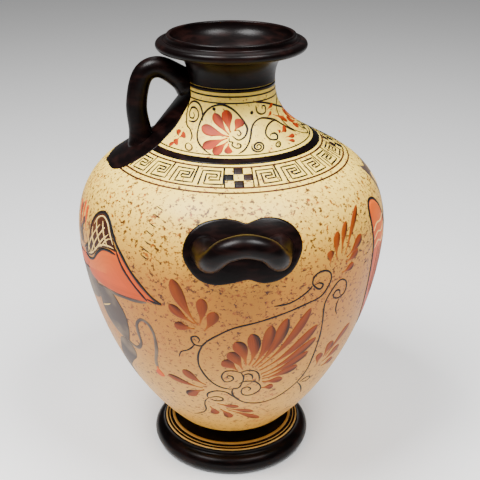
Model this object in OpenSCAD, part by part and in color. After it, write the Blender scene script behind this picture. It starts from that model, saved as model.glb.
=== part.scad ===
// Three-handled water jar (hydria) of thrown and luted clay.
// Origin: centre of the foot's resting face, on the table. +Z is up.
// The painted front faces +X, the upright back handle stands on -X,
// and the two side handles stand on +Y and -Y.

/* [Foot] */
// Outside diameter of the foot disc
foot_d = 113.6; // [90:0.2:140]
// Height of the foot, from the table to the seat of the belly
foot_h = 24; // [20:0.5:40]
// Thickness of the rounded edge of the disc
foot_edge_t = 13; // [9:0.5:16]
// Diameter of the stem where the belly seats on it
stem_d = 66; // [50:1:76]
// Diameter of the outermost painted ring, where the top of the disc starts to slope
foot_top_d = 99.4; // [80:0.2:110]
// Width of the resting ring under the foot
rest_w = 10; // [6:0.5:16]
// Depth of the hollow turned out under the foot
foot_hollow = 9; // [4:0.5:12]

/* [Body] */
// Largest outside diameter of the belly
belly_d = 206.4; // [165:0.2:260]
// Height of the belly, from its seat to the widest place
belly_h = 149; // [115:0.5:190]
// Outside diameter of the belly just above its turned-in base
base_d = 84.4; // [78:0.2:110]
// Height of the turned-in base, from the seat
base_rise = 4; // [3:0.5:8]
// Height of the shoulder, from the widest place to the seam with the neck
shoulder_h = 47; // [38:0.5:60]
// Outside diameter of the seam between shoulder and neck
seam_d = 157.2; // [120:0.2:160]
// Rise of the pot wall at that seam, in degrees above level
seam_rise = 31.4; // [20:0.2:40]
// Thickness of the pot wall
wall = 5.5; // [4:0.25:7]
// Thickness of the floor inside the belly
floor_t = 7; // [5:0.5:10]

/* [Neck and mouth] */
// Height of the neck, from the shoulder seam to the throat
neck_h = 50.6; // [40:0.2:64]
// Outside diameter of the throat, the narrowest place
throat_d = 56.4; // [48:0.2:66]
// Height of the mouth, from the throat to the crest
mouth_h = 29.4; // [24:0.2:36]
// Outside diameter of the lip
mouth_d = 97; // [86:0.5:118]
// Thickness of the rounded lip
lip_t = 6; // [4:0.5:8]
// Diameter of the raised crest around the opening, to its middle
crest_d = 80.4; // [70:0.2:82]
// Height of the crest above the lip
crest_rise = 4; // [3:0.25:6]

/* [Handles] */
// Diameter of the handle rods
rod_d = 13.6; // [10:0.2:17]
// Distance from the pot's axis to the middle of the back handle's upright
back_reach = 61.4; // [54:0.2:72]
// How far the back handle's arch rises above the throat, to the middle of the rod
arch_rise = 8; // [4:0.5:9]
// Place of the back handle's foot along the curve from shoulder seam to throat
back_foot_at = 0.25; // [0.2:0.01:0.35]
// Half the distance between the two roots of a side handle
side_half_span = 21; // [18:0.5:30]
// How far the middle of a side handle stands out from the shoulder
side_reach = 21.5; // [18:0.5:28]
// How far the middle of a side handle rises above its roots
side_lift = 13; // [6:0.5:20]
// Place of the side handles along the curve from widest place to shoulder seam
side_at = 0.25; // [0.15:0.01:0.4]
// Growth of a rod where it spreads onto the pot, as a share of its radius
root_flare = 0.4; // [0.2:0.05:0.8]

/* [Hidden] */
$fn = 96;

CREAM = "#e6c88f";
BLACK = "#2a1a17";

CURVE_STEPS = 16;        // straight pieces in each curve of the outline
ARC_STEPS = 8;           // straight pieces in each rounded edge
ROD_SIDES = 18;          // sides of a handle rod
ROD_RINGS = 34;          // rings along a handle rod
FLARE_LENGTH = rod_d * 0.45;

seat_z = foot_h;
base_z = seat_z + base_rise;
wide_z = seat_z + belly_h;
seam_z = wide_z + shoulder_h;
throat_z = seam_z + neck_h;
crest_z = throat_z + mouth_h;
lip_z = crest_z - crest_rise - lip_t / 2;
belly_r = belly_d / 2;
seam_r = seam_d / 2;
throat_r = throat_d / 2;

// ---- Outline ----

function mix(a, b, share) = a + (b - a) * share;

function bezier(p, t) =
    pow(1 - t, 3) * p[0] + 3 * pow(1 - t, 2) * t * p[1]
    + 3 * (1 - t) * t * t * p[2] + pow(t, 3) * p[3];

function slope(p, t) =
    3 * pow(1 - t, 2) * (p[1] - p[0]) + 6 * (1 - t) * t * (p[2] - p[1])
    + 3 * t * t * (p[3] - p[2]);

function unit(v) = v / norm(v);

// Points along a curve, moved inwards by a wall's thickness
function curve_points(p, inset = 0) = [
    for (i = [0 : CURVE_STEPS])
        let (t = i / CURVE_STEPS, s = unit(slope(p, t)))
        bezier(p, t) + inset * [-s[1], s[0]]
];

function arc_points(centre, r, from, to) = [
    for (i = [0 : ARC_STEPS])
        let (a = mix(from, to, i / ARC_STEPS))
        centre + r * [cos(a), sin(a)]
];

function reversed(list) = [for (i = [len(list) - 1 : -1 : 0]) list[i]];

seam_run = [-1, tan(seam_rise)];
belly_curve = [
    [base_d / 2, base_z],
    [mix(base_d / 2, belly_r, 0.92), mix(base_z, wide_z, 0.4)],
    [belly_r, mix(base_z, wide_z, 0.917)],
    [belly_r, wide_z]
];
shoulder_curve = [
    [belly_r, wide_z],
    [belly_r, mix(wide_z, seam_z, 0.675)],
    [seam_r, seam_z] - seam_run * (belly_r - seam_r) * 0.25,
    [seam_r, seam_z]
];
neck_curve = [
    [seam_r, seam_z],
    [seam_r, seam_z] + seam_run * (seam_r - throat_r) * 0.543,
    [throat_r, mix(throat_z, seam_z, 0.555)],
    [throat_r, throat_z]
];
mouth_flare = [
    [throat_r, throat_z],
    [throat_r, mix(throat_z, lip_z, 0.4)],
    [throat_r + 2.5, mix(throat_z, lip_z, 0.72)],
    [throat_r + 10, lip_z - lip_t / 2 - 0.8]
];
lip_middle = [mouth_d / 2 - lip_t / 2, lip_z];
crest_r = lip_t * 0.2;
crest_middle = [crest_d / 2, crest_z - crest_r];
funnel = [
    crest_middle - [crest_r, 0],
    [crest_middle[0] - 2 * crest_r, mix(throat_z, crest_z, 0.55)],
    [throat_r - wall, mix(throat_z, crest_z, 0.65)],
    [throat_r - wall, throat_z]
];

// The inner line of a wall, kept between the planes square to the two ends of its curve
function inner_points(curve) = [
    for (p = curve_points(curve, wall))
        if ((p - curve[0]) * (curve[1] - curve[0]) > -0.001
            && (curve[3] - p) * (curve[3] - curve[2]) > -0.001) p
];

// One thrown wall: a band of even thickness along its curve
module thrown_wall(curve) {
    rotate_extrude()
        polygon(concat(curve_points(curve), reversed(inner_points(curve))));
}

// The whole outside of the pot without any hollow, to trim the handles with
module pot_outside() {
    rotate_extrude()
        polygon(concat(
            [[0, base_z]],
            curve_points(belly_curve),
            curve_points(shoulder_curve),
            curve_points(neck_curve),
            curve_points(mouth_flare),
            [[0, lip_z]]
        ));
}

// ---- Handles ----

// A round rod along a list of points, wider at both ends
module rod(path, side) {
    last = len(path) - 1;
    travel = [for (i = 0, d = 0; i <= last;
        d = d + (i < last ? norm(path[i + 1] - path[i]) : 0), i = i + 1) d];
    points = [
        for (i = [0 : last])
            let (
                along = unit(path[min(i + 1, last)] - path[max(i - 1, 0)]),
                a = unit(cross(along, side)),
                b = cross(along, a),
                from_end = min(travel[i], travel[last] - travel[i]) - wall,
                r = rod_d / 2 * (1 + root_flare * exp(-max(from_end, 0) / FLARE_LENGTH))
            )
            for (k = [0 : ROD_SIDES - 1])
                path[i] + r * (a * cos(360 * k / ROD_SIDES) + b * sin(360 * k / ROD_SIDES))
    ];
    skin = [
        for (i = [0 : last - 1])
            for (k = [0 : ROD_SIDES - 1])
                let (a = i * ROD_SIDES + k, b = i * ROD_SIDES + (k + 1) % ROD_SIDES)
                [a, b, b + ROD_SIDES, a + ROD_SIDES]
    ];
    start = [for (k = [ROD_SIDES - 1 : -1 : 0]) k];
    end = [for (k = [0 : ROD_SIDES - 1]) last * ROD_SIDES + k];
    polyhedron(points, concat(skin, [start, end]));
}

// A smooth path of the given control points, clamped at both ends
function spline_part(p, k, t) =
    let (
        a = p[max(k - 1, 0)], b = p[k],
        c = p[k + 1], d = p[min(k + 2, len(p) - 1)]
    )
    b + 0.5 * t * (c - a + t * (2 * a - 5 * b + 4 * c - d + t * (3 * (b - c) + d - a)));

function smooth_path(p) = [
    for (i = [0 : ROD_RINGS])
        let (s = i / ROD_RINGS * (len(p) - 1), k = min(floor(s), len(p) - 2))
        spline_part(p, k, s - k)
];

// Centre line of the back handle, as distance from the axis and height
back_foot = bezier(neck_curve, back_foot_at);
back_line = [
    back_foot - [1, wall + 2],
    back_foot + [0.5, 6],
    [back_reach, mix(back_foot[1], throat_z, 0.6)],
    [back_reach - 4.5, throat_z + arch_rise * 0.35],
    [mix(throat_r, back_reach, 0.55), throat_z + arch_rise],
    [throat_r + 5, throat_z + arch_rise * 0.15],
    [throat_r - wall, throat_z - rod_d * 0.5]
];

// Half of a side handle: across, outwards from the shoulder, and up
side_root = bezier(shoulder_curve, side_at);
side_half = [
    [side_half_span, -12, -1],
    [side_half_span, 0, -1.2],
    [side_half_span * 0.97, side_reach * 0.42, -0.8],
    [side_half_span * 0.85, side_reach * 0.78, side_lift * 0.25],
    [side_half_span * 0.56, side_reach * 0.96, side_lift * 0.76],
    [0, side_reach, side_lift]
];
side_line = concat(
    side_half,
    [for (i = [len(side_half) - 2 : -1 : 0])
        [-side_half[i][0], side_half[i][1], side_half[i][2]]]
);

module side_handle() {
    difference() {
        translate([0, side_root[0], side_root[1]])
            rod(smooth_path(side_line), [0, 0, 1]);
        pot_outside();
    }
}

// ---- Pieces ----

module foot() {
    edge_r = foot_edge_t / 2;
    top_r = foot_top_d / 2;
    top_z = foot_edge_t + 2.5;
    stem_r = stem_d / 2;
    rest_r = foot_d / 2 - edge_r * 0.8;
    hollow_r = rest_r - rest_w;
    color(BLACK) rotate_extrude()
        polygon(concat(
            [[0, foot_hollow], [hollow_r - 6, foot_hollow], [hollow_r, 0], [rest_r, 0]],
            arc_points([foot_d / 2 - edge_r, edge_r], edge_r, -70, 80),
            [[top_r + 0.4, foot_edge_t + 0.6], [top_r, top_z]],
            curve_points([
                [top_r - 1, top_z + 0.5],
                [mix(top_r, stem_r, 0.55), top_z + 3.5],
                [stem_r, mix(top_z, seat_z, 0.6)],
                [stem_r, seat_z]
            ]),
            [[0, seat_z]]
        ));
}

module belly() {
    inside = [for (p = curve_points(belly_curve, wall)) if (p[1] > seat_z + floor_t + 1) p];
    color(CREAM) rotate_extrude()
        polygon(concat(
            [[0, seat_z], [stem_d / 2, seat_z]],
            curve_points(belly_curve),
            reversed(inside),
            [[inside[0][0] - 4, seat_z + floor_t], [0, seat_z + floor_t]]
        ));
}

module shoulder() {
    color(CREAM) thrown_wall(shoulder_curve);
}

module neck() {
    color(CREAM) thrown_wall(neck_curve);
}

module mouth() {
    color(BLACK) rotate_extrude()
        polygon(concat(
            curve_points(mouth_flare),
            arc_points(lip_middle, lip_t / 2, -90, 75),
            [crest_middle + [crest_r, -crest_rise * 0.6]],
            arc_points(crest_middle, crest_r, 0, 180),
            curve_points(funnel)
        ));
}

module back_handle() {
    line = [for (p = smooth_path(back_line)) [-p[0], 0, p[1]]];
    color(BLACK) difference() {
        rod(line, [0, 1, 0]);
        pot_outside();
    }
}

module side_handle_left() {
    color(BLACK) side_handle();
}

module side_handle_right() {
    color(BLACK) rotate([0, 0, 180]) side_handle();
}

foot();
belly();
shoulder();
neck();
mouth();
back_handle();
side_handle_left();
side_handle_right();
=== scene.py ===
"""Looks of a painted three-handled water jar of thrown clay.

The jar is turned from one outline, its handles are pulled rods, and its ornament is slip that
stands a tenth of a millimetre proud of the clay. Ornament is drawn flat, as distance across and
distance up the clay in millimetres, and a Geometry Nodes tree wraps it on the jar.
"""

import bisect
import logging
import math
import random
from collections.abc import Iterable, Sequence
from dataclasses import dataclass, field
from enum import Enum

import bmesh
import bpy
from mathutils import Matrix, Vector


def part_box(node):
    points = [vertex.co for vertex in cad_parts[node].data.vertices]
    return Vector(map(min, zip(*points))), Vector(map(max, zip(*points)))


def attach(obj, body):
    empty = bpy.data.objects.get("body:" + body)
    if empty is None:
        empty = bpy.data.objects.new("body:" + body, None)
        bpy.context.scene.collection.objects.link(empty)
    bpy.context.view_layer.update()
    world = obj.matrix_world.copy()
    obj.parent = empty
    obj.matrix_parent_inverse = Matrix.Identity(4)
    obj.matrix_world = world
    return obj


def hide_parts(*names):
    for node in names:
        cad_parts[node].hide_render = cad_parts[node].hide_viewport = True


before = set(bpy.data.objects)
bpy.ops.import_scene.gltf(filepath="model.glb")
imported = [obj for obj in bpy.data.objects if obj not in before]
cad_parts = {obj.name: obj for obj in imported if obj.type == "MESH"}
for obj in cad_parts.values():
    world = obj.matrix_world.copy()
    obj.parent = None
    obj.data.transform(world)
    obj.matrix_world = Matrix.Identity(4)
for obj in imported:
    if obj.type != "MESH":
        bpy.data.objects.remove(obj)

log = logging.getLogger("water_jar")

MM = 0.001
FULL_TURN = 2 * math.pi
Point = tuple[float, float]


class Side(Enum):
    """Where on the jar a drawing is centred, as an azimuth in radians."""

    FRONT = 0.0
    RIGHT = -math.pi / 2
    BACK = -math.pi


class Path(Enum):
    """How a list of points is joined."""

    OPEN = "open"
    CLOSED = "closed"


# ---- Curves ---------------------------------------------------------------------------------


def bezier(p: Sequence[Point], t: float) -> Point:
    """Find a place on a cubic curve.

    Args:
        p: The two ends of the curve with its two handles between them.
        t: Place along the curve, from 0 to 1.

    Returns:
        The two coordinates of that place.
    """
    s = 1 - t
    weights = (s * s * s, 3 * s * s * t, 3 * s * t * t, t * t * t)
    return tuple(sum(w * q[axis] for w, q in zip(weights, p)) for axis in (0, 1))


def mix(a: float, b: float, share: float) -> float:
    """Return the value that lies a share of the way from a to b."""
    return a + (b - a) * share


def smooth(points: Sequence[Sequence[float]], step: float, path: Path = Path.OPEN) -> list:
    """Lay a smooth line through points.

    Args:
        points: The points, with two or three coordinates each.
        step: Longest distance between two points of the result.
        path: Whether the line returns to its first point.

    Returns:
        The points of the smooth line. A closed line does not repeat its first point.
    """
    count = len(points)
    closed = path is Path.CLOSED
    result = []
    for k in range(count if closed else count - 1):
        if closed:
            a, b, c, d = (points[(k + i) % count] for i in (-1, 0, 1, 2))
        else:
            b, c = points[k], points[k + 1]
            a = points[k - 1] if k else b
            d = points[k + 2] if k + 2 < count else c
        cuts = max(1, math.ceil(math.dist(b, c) / step))
        for i in range(cuts):
            t = i / cuts
            result.append(tuple(
                q + 0.5 * t * (r - p + t * (2 * p - 5 * q + 4 * r - s + t * (3 * (q - r) + s - p)))
                for p, q, r, s in zip(a, b, c, d)))
    if not closed:
        result.append(tuple(points[-1]))
    return result


def spiral(middle: Point, outer: float, inner: float, turns: float, start: float) -> list[Point]:
    """Wind a spiral inwards.

    Args:
        middle: Centre of the spiral.
        outer: Radius where it starts.
        inner: Radius where it ends.
        turns: Number of turns, negative to wind clockwise.
        start: Direction of its first point from the centre, in degrees.

    Returns:
        Points about 20 degrees apart.
    """
    cuts = max(6, round(abs(turns) * 18))
    points = []
    for i in range(cuts + 1):
        share = i / cuts
        angle = math.radians(start) + turns * FULL_TURN * share
        radius = mix(outer, inner, share)
        points.append((middle[0] + radius * math.cos(angle), middle[1] + radius * math.sin(angle)))
    return points


# ---- Node trees -----------------------------------------------------------------------------


class Wiring:
    """Adds nodes to a tree and links them in one call."""

    def __init__(self, tree: bpy.types.NodeTree) -> None:
        """Keep the tree that is wired."""
        self.tree = tree

    def node(self, kind: str, inputs: dict | None = None, **settings: object) -> bpy.types.Node:
        """Add one node.

        Args:
            kind: The node's type name.
            inputs: Socket name or number to a value or to the socket that feeds it.
            **settings: The node's own properties.

        Returns:
            The new node.
        """
        made = self.tree.nodes.new(kind)
        for name, value in settings.items():
            setattr(made, name, value)
        return self.feed(made, inputs or {})

    def feed(self, made: bpy.types.Node, inputs: dict) -> bpy.types.Node:
        """Set or link a node's inputs, by socket name or number, and return the node."""
        for key, value in inputs.items():
            if isinstance(value, bpy.types.NodeSocket):
                self.tree.links.new(value, made.inputs[key])
            else:
                made.inputs[key].default_value = value
        return made

    def math(self, operation: str, first: object, second: object = 0.0) -> bpy.types.NodeSocket:
        """Add a Math node and return its result."""
        return self.node("ShaderNodeMath", {0: first, 1: second}, operation=operation).outputs[0]

    def clamp_range(self, value: object, low: float, high: float) -> bpy.types.NodeSocket:
        """Stretch low..high to 0..1 with smooth ends and return the result."""
        made = self.node("ShaderNodeMapRange", {"Value": value, "From Min": low, "From Max": high},
                         interpolation_type="SMOOTHSTEP")
        return made.outputs["Result"]


def new_group(name: str, kind: str, ins: dict,
              outs: dict) -> tuple[Wiring, bpy.types.Node, bpy.types.Node]:
    """Make an empty node group with named sockets.

    Args:
        name: Name of the group.
        kind: Type of tree.
        ins: Input name to its socket type and its value, which may be None.
        outs: Output name to its socket type.

    Returns:
        The wiring of the group with its input and its output node.
    """
    tree = bpy.data.node_groups.new(name, kind)
    for label, (socket, value) in ins.items():
        made = tree.interface.new_socket(label, in_out="INPUT", socket_type=socket)
        if value is not None:
            made.default_value = value
    for label, socket in outs.items():
        tree.interface.new_socket(label, in_out="OUTPUT", socket_type=socket)
    return Wiring(tree), tree.nodes.new("NodeGroupInput"), tree.nodes.new("NodeGroupOutput")


class ClayTrees:
    """The Geometry Nodes trees that turn, wrap and pull the clay."""

    def __init__(self) -> None:
        """Build the three trees once."""
        self.turned = self._turned()
        self.wrapped = self._wrapped()
        self.pulled = self._pulled()

    @staticmethod
    def _finish(w: Wiring, geometry: bpy.types.NodeSocket, given: bpy.types.Node,
                out: bpy.types.Node) -> None:
        """End a tree with real, smooth, dressed geometry."""
        real = w.node("GeometryNodeRealizeInstances", {"Geometry": geometry})
        shaded = w.node("GeometryNodeSetShadeSmooth", {"Geometry": real.outputs[0]})
        dressed = w.node("GeometryNodeSetMaterial",
                         {"Geometry": shaded.outputs[0], "Material": given.outputs["Finish"]})
        w.tree.links.new(dressed.outputs[0], out.inputs[0])

    def _turned(self) -> bpy.types.NodeTree:
        """Build the tree that turns a cross-section round the upright axis."""
        w, given, out = new_group("Turned clay", "GeometryNodeTree", {
            "Geometry": ("NodeSocketGeometry", None), "Outline": ("NodeSocketObject", None),
            "Rows": ("NodeSocketInt", 2), "Turns": ("NodeSocketInt", 64),
            "Finish": ("NodeSocketMaterial", None)}, {"Geometry": "NodeSocketGeometry"})
        columns = w.math("ADD", given.outputs["Turns"], 1.0)
        grid = w.node("GeometryNodeMeshGrid", {
            "Size X": 1.0, "Size Y": 1.0, "Vertices X": columns, "Vertices Y": given.outputs["Rows"]})
        place = w.node("ShaderNodeSeparateXYZ", {0: w.node("GeometryNodeInputPosition").outputs[0]})
        angle = w.math("MULTIPLY", w.math("ADD", place.outputs[0], 0.5), FULL_TURN)
        last = w.math("SUBTRACT", given.outputs["Rows"], 1.0)
        row = w.math("ROUND", w.math("MULTIPLY", w.math("ADD", place.outputs[1], 0.5), last))
        outline = w.node("GeometryNodeObjectInfo", {"Object": given.outputs["Outline"]})
        spot = w.node("GeometryNodeSampleIndex", {
            "Geometry": outline.outputs["Geometry"],
            "Value": w.node("GeometryNodeInputPosition").outputs[0],
            "Index": row}, data_type="FLOAT_VECTOR", domain="POINT")
        turned = w.node("ShaderNodeVectorRotate", {"Vector": spot.outputs[0], "Angle": angle},
                        rotation_type="Z_AXIS")
        moved = w.node("GeometryNodeSetPosition",
                       {"Geometry": grid.outputs["Mesh"], "Position": turned.outputs[0]})
        closed = w.node("GeometryNodeMergeByDistance",
                        {"Geometry": moved.outputs[0], "Distance": 1e-6})
        self._finish(w, closed.outputs[0], given, out)
        return w.tree

    def _wrapped(self) -> bpy.types.NodeTree:
        """Build the tree that repeats a flat drawing and wraps it on an outline."""
        w, given, out = new_group("Slip on clay", "GeometryNodeTree", {
            "Geometry": ("NodeSocketGeometry", None), "Outline": ("NodeSocketObject", None),
            "Copies": ("NodeSocketInt", 1), "Step": ("NodeSocketFloat", 0.0),
            "Finish": ("NodeSocketMaterial", None)}, {"Geometry": "NodeSocketGeometry"})
        stride = w.node("ShaderNodeCombineXYZ", {0: given.outputs["Step"]})
        spots = w.node("GeometryNodeMeshLine", {
            "Count": given.outputs["Copies"], "Offset": stride.outputs[0]}, mode="OFFSET")
        copies = w.node("GeometryNodeInstanceOnPoints", {
            "Points": spots.outputs[0], "Instance": given.outputs["Geometry"]})
        flat = w.node("GeometryNodeRealizeInstances", {"Geometry": copies.outputs[0]})
        place = w.node("ShaderNodeSeparateXYZ", {0: w.node("GeometryNodeInputPosition").outputs[0]})
        outline = w.node("GeometryNodeObjectInfo", {"Object": given.outputs["Outline"]})
        spot = w.node("GeometryNodeSampleCurve", {
            "Curves": outline.outputs["Geometry"], "Length": place.outputs[1]}, mode="LENGTH")
        run = w.node("ShaderNodeSeparateXYZ", {0: spot.outputs["Tangent"]})
        outwards = w.node("ShaderNodeCombineXYZ", {
            0: run.outputs[2], 2: w.math("MULTIPLY", run.outputs[0], -1.0)})
        lift = w.node("ShaderNodeVectorMath", {0: outwards.outputs[0], "Scale": place.outputs[2]},
                      operation="SCALE")
        skin = w.node("ShaderNodeVectorMath", {0: spot.outputs["Position"], 1: lift.outputs[0]})
        turned = w.node("ShaderNodeVectorRotate",
                        {"Vector": skin.outputs[0], "Angle": place.outputs[0]},
                        rotation_type="Z_AXIS")
        moved = w.node("GeometryNodeSetPosition",
                       {"Geometry": flat.outputs[0], "Position": turned.outputs[0]})
        closed = w.node("GeometryNodeMergeByDistance",
                        {"Geometry": moved.outputs[0], "Distance": 1e-6})
        self._finish(w, closed.outputs[0], given, out)
        return w.tree

    def _pulled(self) -> bpy.types.NodeTree:
        """Build the tree that sweeps a round rod along a line and spreads its two roots."""
        w, given, out = new_group("Pulled rod", "GeometryNodeTree", {
            "Geometry": ("NodeSocketGeometry", None), "Radius": ("NodeSocketFloat", 0.01),
            "Flare": ("NodeSocketFloat", 0.5), "Flare length": ("NodeSocketFloat", 0.01),
            "Buried": ("NodeSocketFloat", 0.005), "Finish": ("NodeSocketMaterial", None)},
            {"Geometry": "NodeSocketGeometry"})
        line = w.node("GeometryNodeMeshToCurve", {0: given.outputs["Geometry"]})
        along = w.node("GeometryNodeSplineParameter").outputs["Length"]
        whole = w.node("GeometryNodeSplineLength").outputs["Length"]
        near = w.math("MINIMUM", along, w.math("SUBTRACT", whole, along))
        free = w.math("MAXIMUM", w.math("SUBTRACT", near, given.outputs["Buried"]), 0.0)
        fall = w.math("EXPONENT", w.math("DIVIDE", w.math("MULTIPLY", free, -1.0),
                                         given.outputs["Flare length"]))
        grown = w.math("ADD", w.math("MULTIPLY", fall, given.outputs["Flare"]), 1.0)
        radius = w.math("MULTIPLY", grown, given.outputs["Radius"])
        thick = w.node("GeometryNodeSetCurveRadius", {"Curve": line.outputs[0], "Radius": radius})
        ring = w.node("GeometryNodeCurvePrimitiveCircle", {"Resolution": 40, "Radius": 1.0})
        tube = w.node("GeometryNodeCurveToMesh", {
            "Curve": thick.outputs[0], "Profile Curve": ring.outputs[0], "Fill Caps": True})
        if "Scale" in tube.inputs:
            w.tree.links.new(w.node("GeometryNodeInputRadius").outputs[0], tube.inputs["Scale"])
        self._finish(w, tube.outputs[0], given, out)
        return w.tree


def bake(mesh: bpy.types.Mesh, tree: bpy.types.NodeTree, values: dict, name: str) -> bpy.types.Object:
    """Run a mesh through a tree and keep the result as a plain piece.

    Args:
        mesh: The mesh that enters the tree.
        tree: The Geometry Nodes tree.
        values: Input name to its value.
        name: Name of the finished piece.

    Returns:
        An object at the origin with a plain mesh whose faces point outwards.
    """
    holder = bpy.data.objects.new(f"{name}_holder", mesh)
    bpy.context.collection.objects.link(holder)
    modifier = holder.modifiers.new("shape", "NODES")
    modifier.node_group = tree
    for item in tree.interface.items_tree:
        if item.in_out == "INPUT" and item.name in values:
            modifier[item.identifier] = values[item.name]
    evaluated = holder.evaluated_get(bpy.context.evaluated_depsgraph_get())
    plain = bpy.data.meshes.new_from_object(evaluated)
    plain.name = name
    holder.modifiers.clear()
    bpy.data.objects.remove(holder)
    bm = bmesh.new()
    bm.from_mesh(plain)
    bmesh.ops.recalc_face_normals(bm, faces=bm.faces)
    bm.to_mesh(plain)
    bm.free()
    piece = bpy.data.objects.new(name, plain)
    bpy.context.collection.objects.link(piece)
    return piece


def polyline(name: str, points: Iterable[Sequence[float]]) -> bpy.types.Mesh:
    """Make a mesh of edges through the points, in metres."""
    points = [tuple(p) for p in points]
    mesh = bpy.data.meshes.new(name)
    mesh.from_pydata(points, [(i, i + 1) for i in range(len(points) - 1)], [])
    return mesh


def outline_curve(name: str, points: Sequence[Point]) -> bpy.types.Object:
    """Make a curve through radius and height pairs, for the trees to sample.

    Args:
        name: Name of the curve.
        points: Radius and height of each point, in metres.

    Returns:
        The curve object, which is removed when all pieces are made.
    """
    curve = bpy.data.curves.new(name, "CURVE")
    curve.dimensions = "3D"
    spline = curve.splines.new("POLY")
    spline.points.add(len(points) - 1)
    for spot, (r, z) in zip(spline.points, points):
        spot.co = (r, 0.0, z, 1.0)
    made = bpy.data.objects.new(name, curve)
    bpy.context.collection.objects.link(made)
    return made


def turn_section(trees: ClayTrees, name: str, section: Sequence[Point], turns: int,
                 finish: bpy.types.Material, piece_name: str) -> bpy.types.Object:
    """Turn a closed cross-section round the upright axis.

    Args:
        trees: The trees that hold the turning tree.
        name: Name for the passing curve and mesh.
        section: Radius and height of each point in metres, the last the same as the first.
        turns: Number of faces round the axis.
        finish: The material.
        piece_name: Name of the finished piece.

    Returns:
        The finished piece.
    """
    sampled = outline_curve(f"{name}_section", section)
    piece = bake(polyline(f"{name}_seed", [(0, 0, 0), (0, 0, MM)]), trees.turned, {
        "Outline": sampled, "Rows": len(section), "Turns": turns, "Finish": finish}, piece_name)
    bpy.data.objects.remove(sampled)
    return piece


# ---- The shape of the jar -------------------------------------------------------------------


@dataclass
class JarShape:
    """The jar's outline, worked out from the boxes of the frame's nodes."""

    wall: float = 5.5 * MM
    floor: float = 7.0 * MM
    base_rise: float = 4.0 * MM
    base_r: float = 42.2 * MM
    seam_r: float = 78.6 * MM
    seam_rise: float = 31.4
    throat_r: float = 28.2 * MM
    lip_t: float = 6.0 * MM
    crest_rise: float = 4.0 * MM
    crest_r: float = 40.2 * MM
    rod_r: float = 6.8 * MM
    curve_steps: int = 110
    turns: int = 256
    outline: list[Point] = field(default_factory=list)
    lengths: list[float] = field(default_factory=list)

    def __post_init__(self) -> None:
        """Read heights and radii from the frame and lay out the outer curves."""
        self.seat_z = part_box("belly")[0][2]
        self.wide_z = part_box("belly")[1][2]
        self.belly_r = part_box("belly")[1][0]
        self.seam_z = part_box("shoulder")[1][2]
        self.throat_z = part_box("neck")[1][2]
        self.crest_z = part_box("mouth")[1][2]
        self.mouth_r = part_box("mouth")[1][0]
        self.foot_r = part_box("foot")[1][0]
        self.base_z = self.seat_z + self.base_rise
        self.lip_z = self.crest_z - self.crest_rise - self.lip_t / 2
        rise = math.tan(math.radians(self.seam_rise))
        short = (self.belly_r - self.seam_r) * 0.25
        long = (self.seam_r - self.throat_r) * 0.543
        self.belly = [
            (self.base_r, self.base_z),
            (mix(self.base_r, self.belly_r, 0.92), mix(self.base_z, self.wide_z, 0.4)),
            (self.belly_r, mix(self.base_z, self.wide_z, 0.917)),
            (self.belly_r, self.wide_z)]
        self.shoulder = [
            (self.belly_r, self.wide_z),
            (self.belly_r, mix(self.wide_z, self.seam_z, 0.675)),
            (self.seam_r + short, self.seam_z - rise * short),
            (self.seam_r, self.seam_z)]
        self.neck = [
            (self.seam_r, self.seam_z),
            (self.seam_r - long, self.seam_z + rise * long),
            (self.throat_r, mix(self.throat_z, self.seam_z, 0.555)),
            (self.throat_r, self.throat_z)]
        for curve in (self.belly, self.shoulder, self.neck):
            self.outline += self.along(curve)[(1 if self.outline else 0):]
        self.lengths = [0.0]
        for a, b in zip(self.outline, self.outline[1:]):
            self.lengths.append(self.lengths[-1] + math.dist(a, b))

    def along(self, curve: Sequence[Point]) -> list[Point]:
        """Return even points along one of the curves."""
        return [bezier(curve, i / self.curve_steps) for i in range(self.curve_steps + 1)]

    def inset(self, points: Sequence[Point], depth: float) -> list[Point]:
        """Move a line of points into the clay.

        Args:
            points: Radius and height pairs, from the foot upwards.
            depth: How far to move them.

        Returns:
            The moved points.
        """
        moved = []
        for i, (r, z) in enumerate(points):
            a, b = points[max(i - 1, 0)], points[min(i + 1, len(points) - 1)]
            length = math.dist(a, b)
            moved.append((r - depth * (b[1] - a[1]) / length, z + depth * (b[0] - a[0]) / length))
        return moved

    def place_at(self, up: float) -> Point:
        """Find the place on the jar's outline at a distance up its skin.

        Args:
            up: Distance along the outline from the base of the belly, in metres.

        Returns:
            The radius and the height in metres.
        """
        k = min(max(bisect.bisect(self.lengths, up) - 1, 0), len(self.outline) - 2)
        share = (up - self.lengths[k]) / (self.lengths[k + 1] - self.lengths[k])
        return tuple(mix(a, b, share) for a, b in zip(self.outline[k], self.outline[k + 1]))

    def radius_at(self, up: float) -> float:
        """Return how wide the jar is at a distance up its skin, in metres."""
        return self.place_at(up)[0]


def arc(middle: Point, radius: float, start: float, end: float, cuts: int = 16) -> list[Point]:
    """Return points along an arc whose angles are in degrees."""
    angles = [math.radians(mix(start, end, i / cuts)) for i in range(cuts + 1)]
    return [(middle[0] + radius * math.cos(a), middle[1] + radius * math.sin(a)) for a in angles]


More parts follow.
